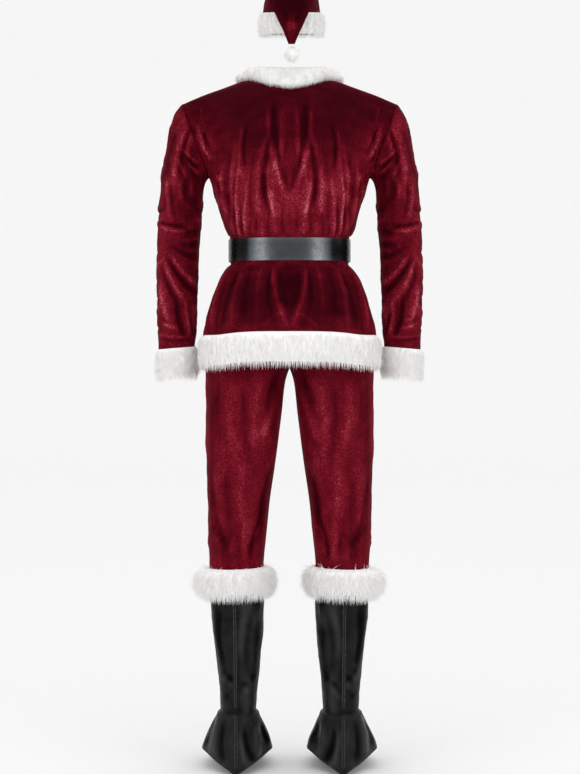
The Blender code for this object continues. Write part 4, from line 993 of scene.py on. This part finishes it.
def fur_core(node, raise_low, drop_top, thinner):
    """The dense part of a trim, short of where its hairs end."""
    core = plain_object(node + "_core", *quads_of(node))
    cut = core.modifiers.new("Subdivision", "SUBSURF")
    cut.levels = cut.render_levels = 2
    mesh = baked(core).data
    place = points_of(mesh)
    low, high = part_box(node)
    centre = (low + high) / 2
    facing = np.zeros(len(place) * 3, np.float32)
    mesh.vertices.foreach_get("normal", facing)
    facing = facing.reshape(-1, 3).astype(float)
    radial = place - np.array((centre.x, centre.y, centre.z))
    if node != "hat_pompom":
        radial[:, 2] = 0
    radial /= np.linalg.norm(radial, axis=1)[:, None] + 1e-9
    outer = smooth(((facing * radial).sum(1) + 0.15) / 0.35)
    share = np.clip((place[:, 2] - low.z) / (high.z - low.z), 0, 1)
    place -= facing * (thinner * outer)[:, None]
    place[:, 2] += raise_low * (1 - share) - drop_top * share
    set_points(mesh, place)
    crown = 1 - 0.75 * smooth((facing[:, 2] - 0.45) / 0.35)
    keep_floats(mesh, "pile", np.clip(outer + smooth((-facing[:, 2] - 0.2) / 0.4) * 0.9, 0, 1) * crown)
    mesh.materials.clear()
    mesh.materials.append(look("faux_fur"))
    mesh.shade_smooth()
    return core


class SUIT_OT_fur(bpy.types.Operator):
    """Make every fur trim: its dense core and its hairs"""

    bl_idname = "suit.fur"
    bl_label = "Fur trims"

    def execute(self, context):
        sizes = context.scene.suit_sizes
        tree = fur_tree()
        for number, row in enumerate(TRIMS):
            node, dense, long, stand, lay, raise_low, drop_top, thinner = row
            core = fur_core(node, raise_low, drop_top, thinner)
            hair = bpy.data.objects.new(node + "_hair", core.data.copy())
            context.scene.collection.objects.link(hair)
            few = 1.0
            grown(hair, tree, Hairs_per_square_metre=sizes.hairs * dense * few, Stand=stand, Lay=lay,
                  Length=sizes.hair_length * long, Width=sizes.hair_width, Lock_size=sizes.lock_size,
                  Lock_spread=1.5, Curl=0.22, Seed=number + 3, Material=look("faux_fur"))
            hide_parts(node)
            for piece in (core, hair):
                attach(piece, "root")
        return {"FINISHED"}


def laid(bvh, starts, way, lift):
    """Points where rays from starts first meet a surface, a little off it."""
    found = []
    for start, heading in zip(starts, way):
        place, rise = None, 0.0
        while place is None and rise < 0.03:
            place, normal, _, _ = bvh.ray_cast(Vector(start) + Vector((0, 0, rise)), Vector(heading))
            rise += 0.0015
        if place is None:
            raise RuntimeError("a seam line misses its piece")
        found.append(place + (normal if normal.dot(Vector(heading)) < 0 else -normal) * lift)
    return found


def sew(name, lines, finish, pitch, share, radius):
    """Thread or cord along lines of points."""
    points, edges = [], []
    for line in lines:
        start = len(points)
        points += [tuple(p) for p in line]
        edges += [(i, i + 1) for i in range(start, len(points) - 1)]
    mesh = bpy.data.meshes.new(name)
    mesh.from_pydata(points, edges, [])
    made = bpy.data.objects.new(name, mesh)
    bpy.context.scene.collection.objects.link(made)
    tree = bpy.data.node_groups.get("stitches") or stitch_tree()
    grown(made, tree, Pitch=pitch, Stitch_length=pitch * share, Thread=radius, Material=look(finish))
    made.data.shade_smooth()
    # Sewn pieces get the painted highlight level; only the welts' leathercloth reads it.
    keep_floats(made.data, "pile_and_painted_light", np.full(len(made.data.vertices), SEWN_PAINTED_HIGHLIGHT))
    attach(made, "root")
    return made


def ring_on(bvh, centre, heights, lift):
    """A closed line round a boot cover, at heights for each turn from the heel round."""
    turns = np.radians(np.linspace(-180, 180, len(heights)))
    starts = [(centre.x + 0.4 * math.sin(t), centre.y - 0.4 * math.cos(t), h) for t, h in zip(turns, heights)]
    way = [(-math.sin(t), math.cos(t), 0) for t in turns]
    return laid(bvh, starts, way, lift)


def lower_edge(mesh, centre, count):
    """How high a boot cover's lower edge lies, for each turn from the heel round."""
    points = points_of(mesh)
    turn = np.degrees(np.arctan2(points[:, 0] - centre.x, centre.y - points[:, 1]))
    step = 360 / (count - 1)
    lows = []
    for want in np.linspace(-180, 180, count):
        apart = np.abs((turn - want + 180) % 360 - 180)
        lows.append(points[apart < step * 1.5, 2].min())
    lows[-1] = lows[0]
    return np.convolve(np.r_[lows[-3:-1], lows, lows[1:3]], np.ones(5) / 5, "valid")


class SUIT_OT_stitching(bpy.types.Operator):
    """Sew the welted back seams, the ankle seams and the hems of the boot covers"""

    bl_idname = "suit.stitching"
    bl_label = "Stitching"

    def execute(self, context):
        sizes = context.scene.suit_sizes
        pitch, thread = sizes.stitch_pitch, sizes.thread
        depsgraph = context.evaluated_depsgraph_get()
        for side, arm in (("left", -1), ("right", 1)):
            shaft = BVHTree.FromObject(bpy.data.objects[f"boot_shaft_{side}_leathercloth"], depsgraph)
            foot_piece = bpy.data.objects[f"boot_foot_{side}_leathercloth"]
            foot = BVHTree.FromObject(foot_piece, depsgraph)
            welts, rows, groove = [], [], []
            for tree, low, high in ((shaft, 0.146, 0.402), (foot, 0.018, 0.136)):
                for offset, lines in ((-WELT_APART, welts), (WELT_APART, welts), (0.0, groove),
                                      (-ROW_APART, rows), (ROW_APART, rows)):
                    heights = np.arange(low + abs(offset), high, SEAM_STEP)
                    starts = [(arm * (0.1188 + 0.0035 * min(h / 0.40, 1)) + offset, -0.4, h - ORIGIN_HEIGHT)
                              for h in heights]
                    lines.append(laid(tree, starts, [(0, 1, 0)] * len(starts), thread * 0.5))
            centre = Vector((arm * BOOT_CENTRE[0], BOOT_CENTRE[1], 0))
            turns = np.radians(np.linspace(-180, 180, 61))
            ankle = [0.1335 - 0.0095 * (1 + math.cos(t)) / 2 - ORIGIN_HEIGHT for t in turns]
            groove.append(ring_on(foot, centre, ankle, 0.0002))
            rows.append(ring_on(foot, centre, [h - 0.0045 for h in ankle], thread * 0.5))
            hem = lower_edge(foot_piece.data, centre, 121)
            welts.append(ring_on(foot, centre, hem + 0.0035, 0.0002))
            rows.append(ring_on(foot, centre, hem + 0.0085, thread * 0.5))
            # The welts take the lighter belt leathercloth, a painted highlight along them; the black cords
            # laid in the groove between them and round the ankle are painted shade.
            sew(f"boot_welts_{side}", welts, "belt_leathercloth", 0.0036, 1.15, thread * 2.0)
            sew(f"boot_groove_shade_{side}", groove, "black_thread", 0.0040, 1.15, thread * 3.4)
            sew(f"boot_stitches_{side}", rows, "black_thread", pitch, 0.72, thread)
        return {"FINISHED"}


class SUIT_OT_studio(bpy.types.Operator):
    """Make the pale floor, the soft lights and the camera"""

    bl_idname = "suit.studio"
    bl_label = "Studio"

    def execute(self, context):
        sizes = context.scene.suit_studio
        bend = np.radians(np.linspace(0, 90, 19))
        profile = [(-14.0, FLOOR)] + [(11 + 4 * math.sin(t), FLOOR + 4 * (1 - math.cos(t))) for t in bend]
        profile.append((15.0, FLOOR + 14))
        points = [(x, y, z) for y, z in profile for x in (-24, 24)]
        sweep = plain_object("studio_sweep", points,
                             [(2 * i, 2 * i + 1, 2 * i + 3, 2 * i + 2) for i in range(len(profile) - 1)])
        sweep.data.shade_smooth()
        sweep.data.materials.append(look("pale_studio_paper"))
        world = bpy.data.worlds.new("studio_light")
        context.scene.world = world
        world.use_nodes = True
        background = world.node_tree.nodes["Background"]
        background.inputs["Color"].default_value = linear("#ffffff")
        background.inputs["Strength"].default_value = 0.957
        self.light("key_light", (0.0, -3.6, 2.2), (2.6, 1.6), sizes.key_power, (0, 0, -0.5))
        self.light("side_light_left", (-2.1, -2.9, -0.15), (1.2, 0.9), sizes.side_power, (0, 0, -0.4))
        self.light("side_light_right", (2.1, -2.9, -0.15), (1.2, 0.9), sizes.side_power, (0, 0, -0.4))
        camera = bpy.data.cameras.new("camera")
        camera.sensor_fit = "VERTICAL"
        camera.sensor_height = 36.0
        camera.lens = 36.0 * sizes.camera_distance / sizes.picture_height
        camera.shift_y = (sizes.picture_middle - sizes.camera_height) / sizes.picture_height
        holder = bpy.data.objects.new("camera", camera)
        holder.location = (0.001, -sizes.camera_distance, sizes.camera_height - ORIGIN_HEIGHT)
        holder.rotation_euler = (math.radians(90), 0, 0)
        context.scene.collection.objects.link(holder)
        context.scene.camera = holder
        context.scene.view_settings.view_transform = "Standard"
        return {"FINISHED"}

    def light(self, name, place, size, power, target):
        """A soft rectangular light that looks at a point."""
        data = bpy.data.lights.new(name, "AREA")
        data.shape = "RECTANGLE"
        data.size, data.size_y = size
        data.energy = power
        holder = bpy.data.objects.new(name, data)
        holder.location = place
        holder.rotation_euler = (Vector(target) - Vector(place)).to_track_quat("-Z", "Y").to_euler()
        bpy.context.scene.collection.objects.link(holder)


OPERATORS = (SUIT_OT_jacket, SUIT_OT_sleeves, SUIT_OT_trousers, SUIT_OT_hat, SUIT_OT_boots, SUIT_OT_belt,
             SUIT_OT_fur, SUIT_OT_stitching, SUIT_OT_studio)


class SUIT_PT_pieces(bpy.types.Panel):
    """Lists the pieces of the suit"""

    bl_idname = "SUIT_PT_pieces"
    bl_label = "Santa suit"
    bl_space_type = "VIEW_3D"
    bl_region_type = "UI"
    bl_category = "Santa suit"

    def draw(self, context):
        for group in (context.scene.suit_colours, context.scene.suit_sizes, context.scene.suit_studio):
            for name in group.bl_rna.properties.keys():
                if name not in ("rna_type", "name"):
                    self.layout.prop(group, name)
        for operator in OPERATORS:
            self.layout.operator(operator.bl_idname)


CLASSES = (SuitColours, SuitSizes, StudioSizes) + OPERATORS + (SUIT_PT_pieces,)


def register():
    """Add the classes and the scene's settings."""
    for each in CLASSES:
        bpy.utils.register_class(each)
    bpy.types.Scene.suit_colours = bpy.props.PointerProperty(type=SuitColours)
    bpy.types.Scene.suit_sizes = bpy.props.PointerProperty(type=SuitSizes)
    bpy.types.Scene.suit_studio = bpy.props.PointerProperty(type=StudioSizes)


def unregister():
    """Take the settings and the classes away again."""
    del bpy.types.Scene.suit_studio
    del bpy.types.Scene.suit_sizes
    del bpy.types.Scene.suit_colours
    for each in reversed(CLASSES):
        bpy.utils.unregister_class(each)


def main():
    register()
    bpy.ops.suit.fur()
    bpy.ops.suit.jacket()
    bpy.ops.suit.sleeves()
    bpy.ops.suit.trousers()
    bpy.ops.suit.hat()
    bpy.ops.suit.boots()
    bpy.ops.suit.belt()
    bpy.ops.suit.stitching()
    bpy.ops.suit.studio()


if __name__ == "__main__":
    main()
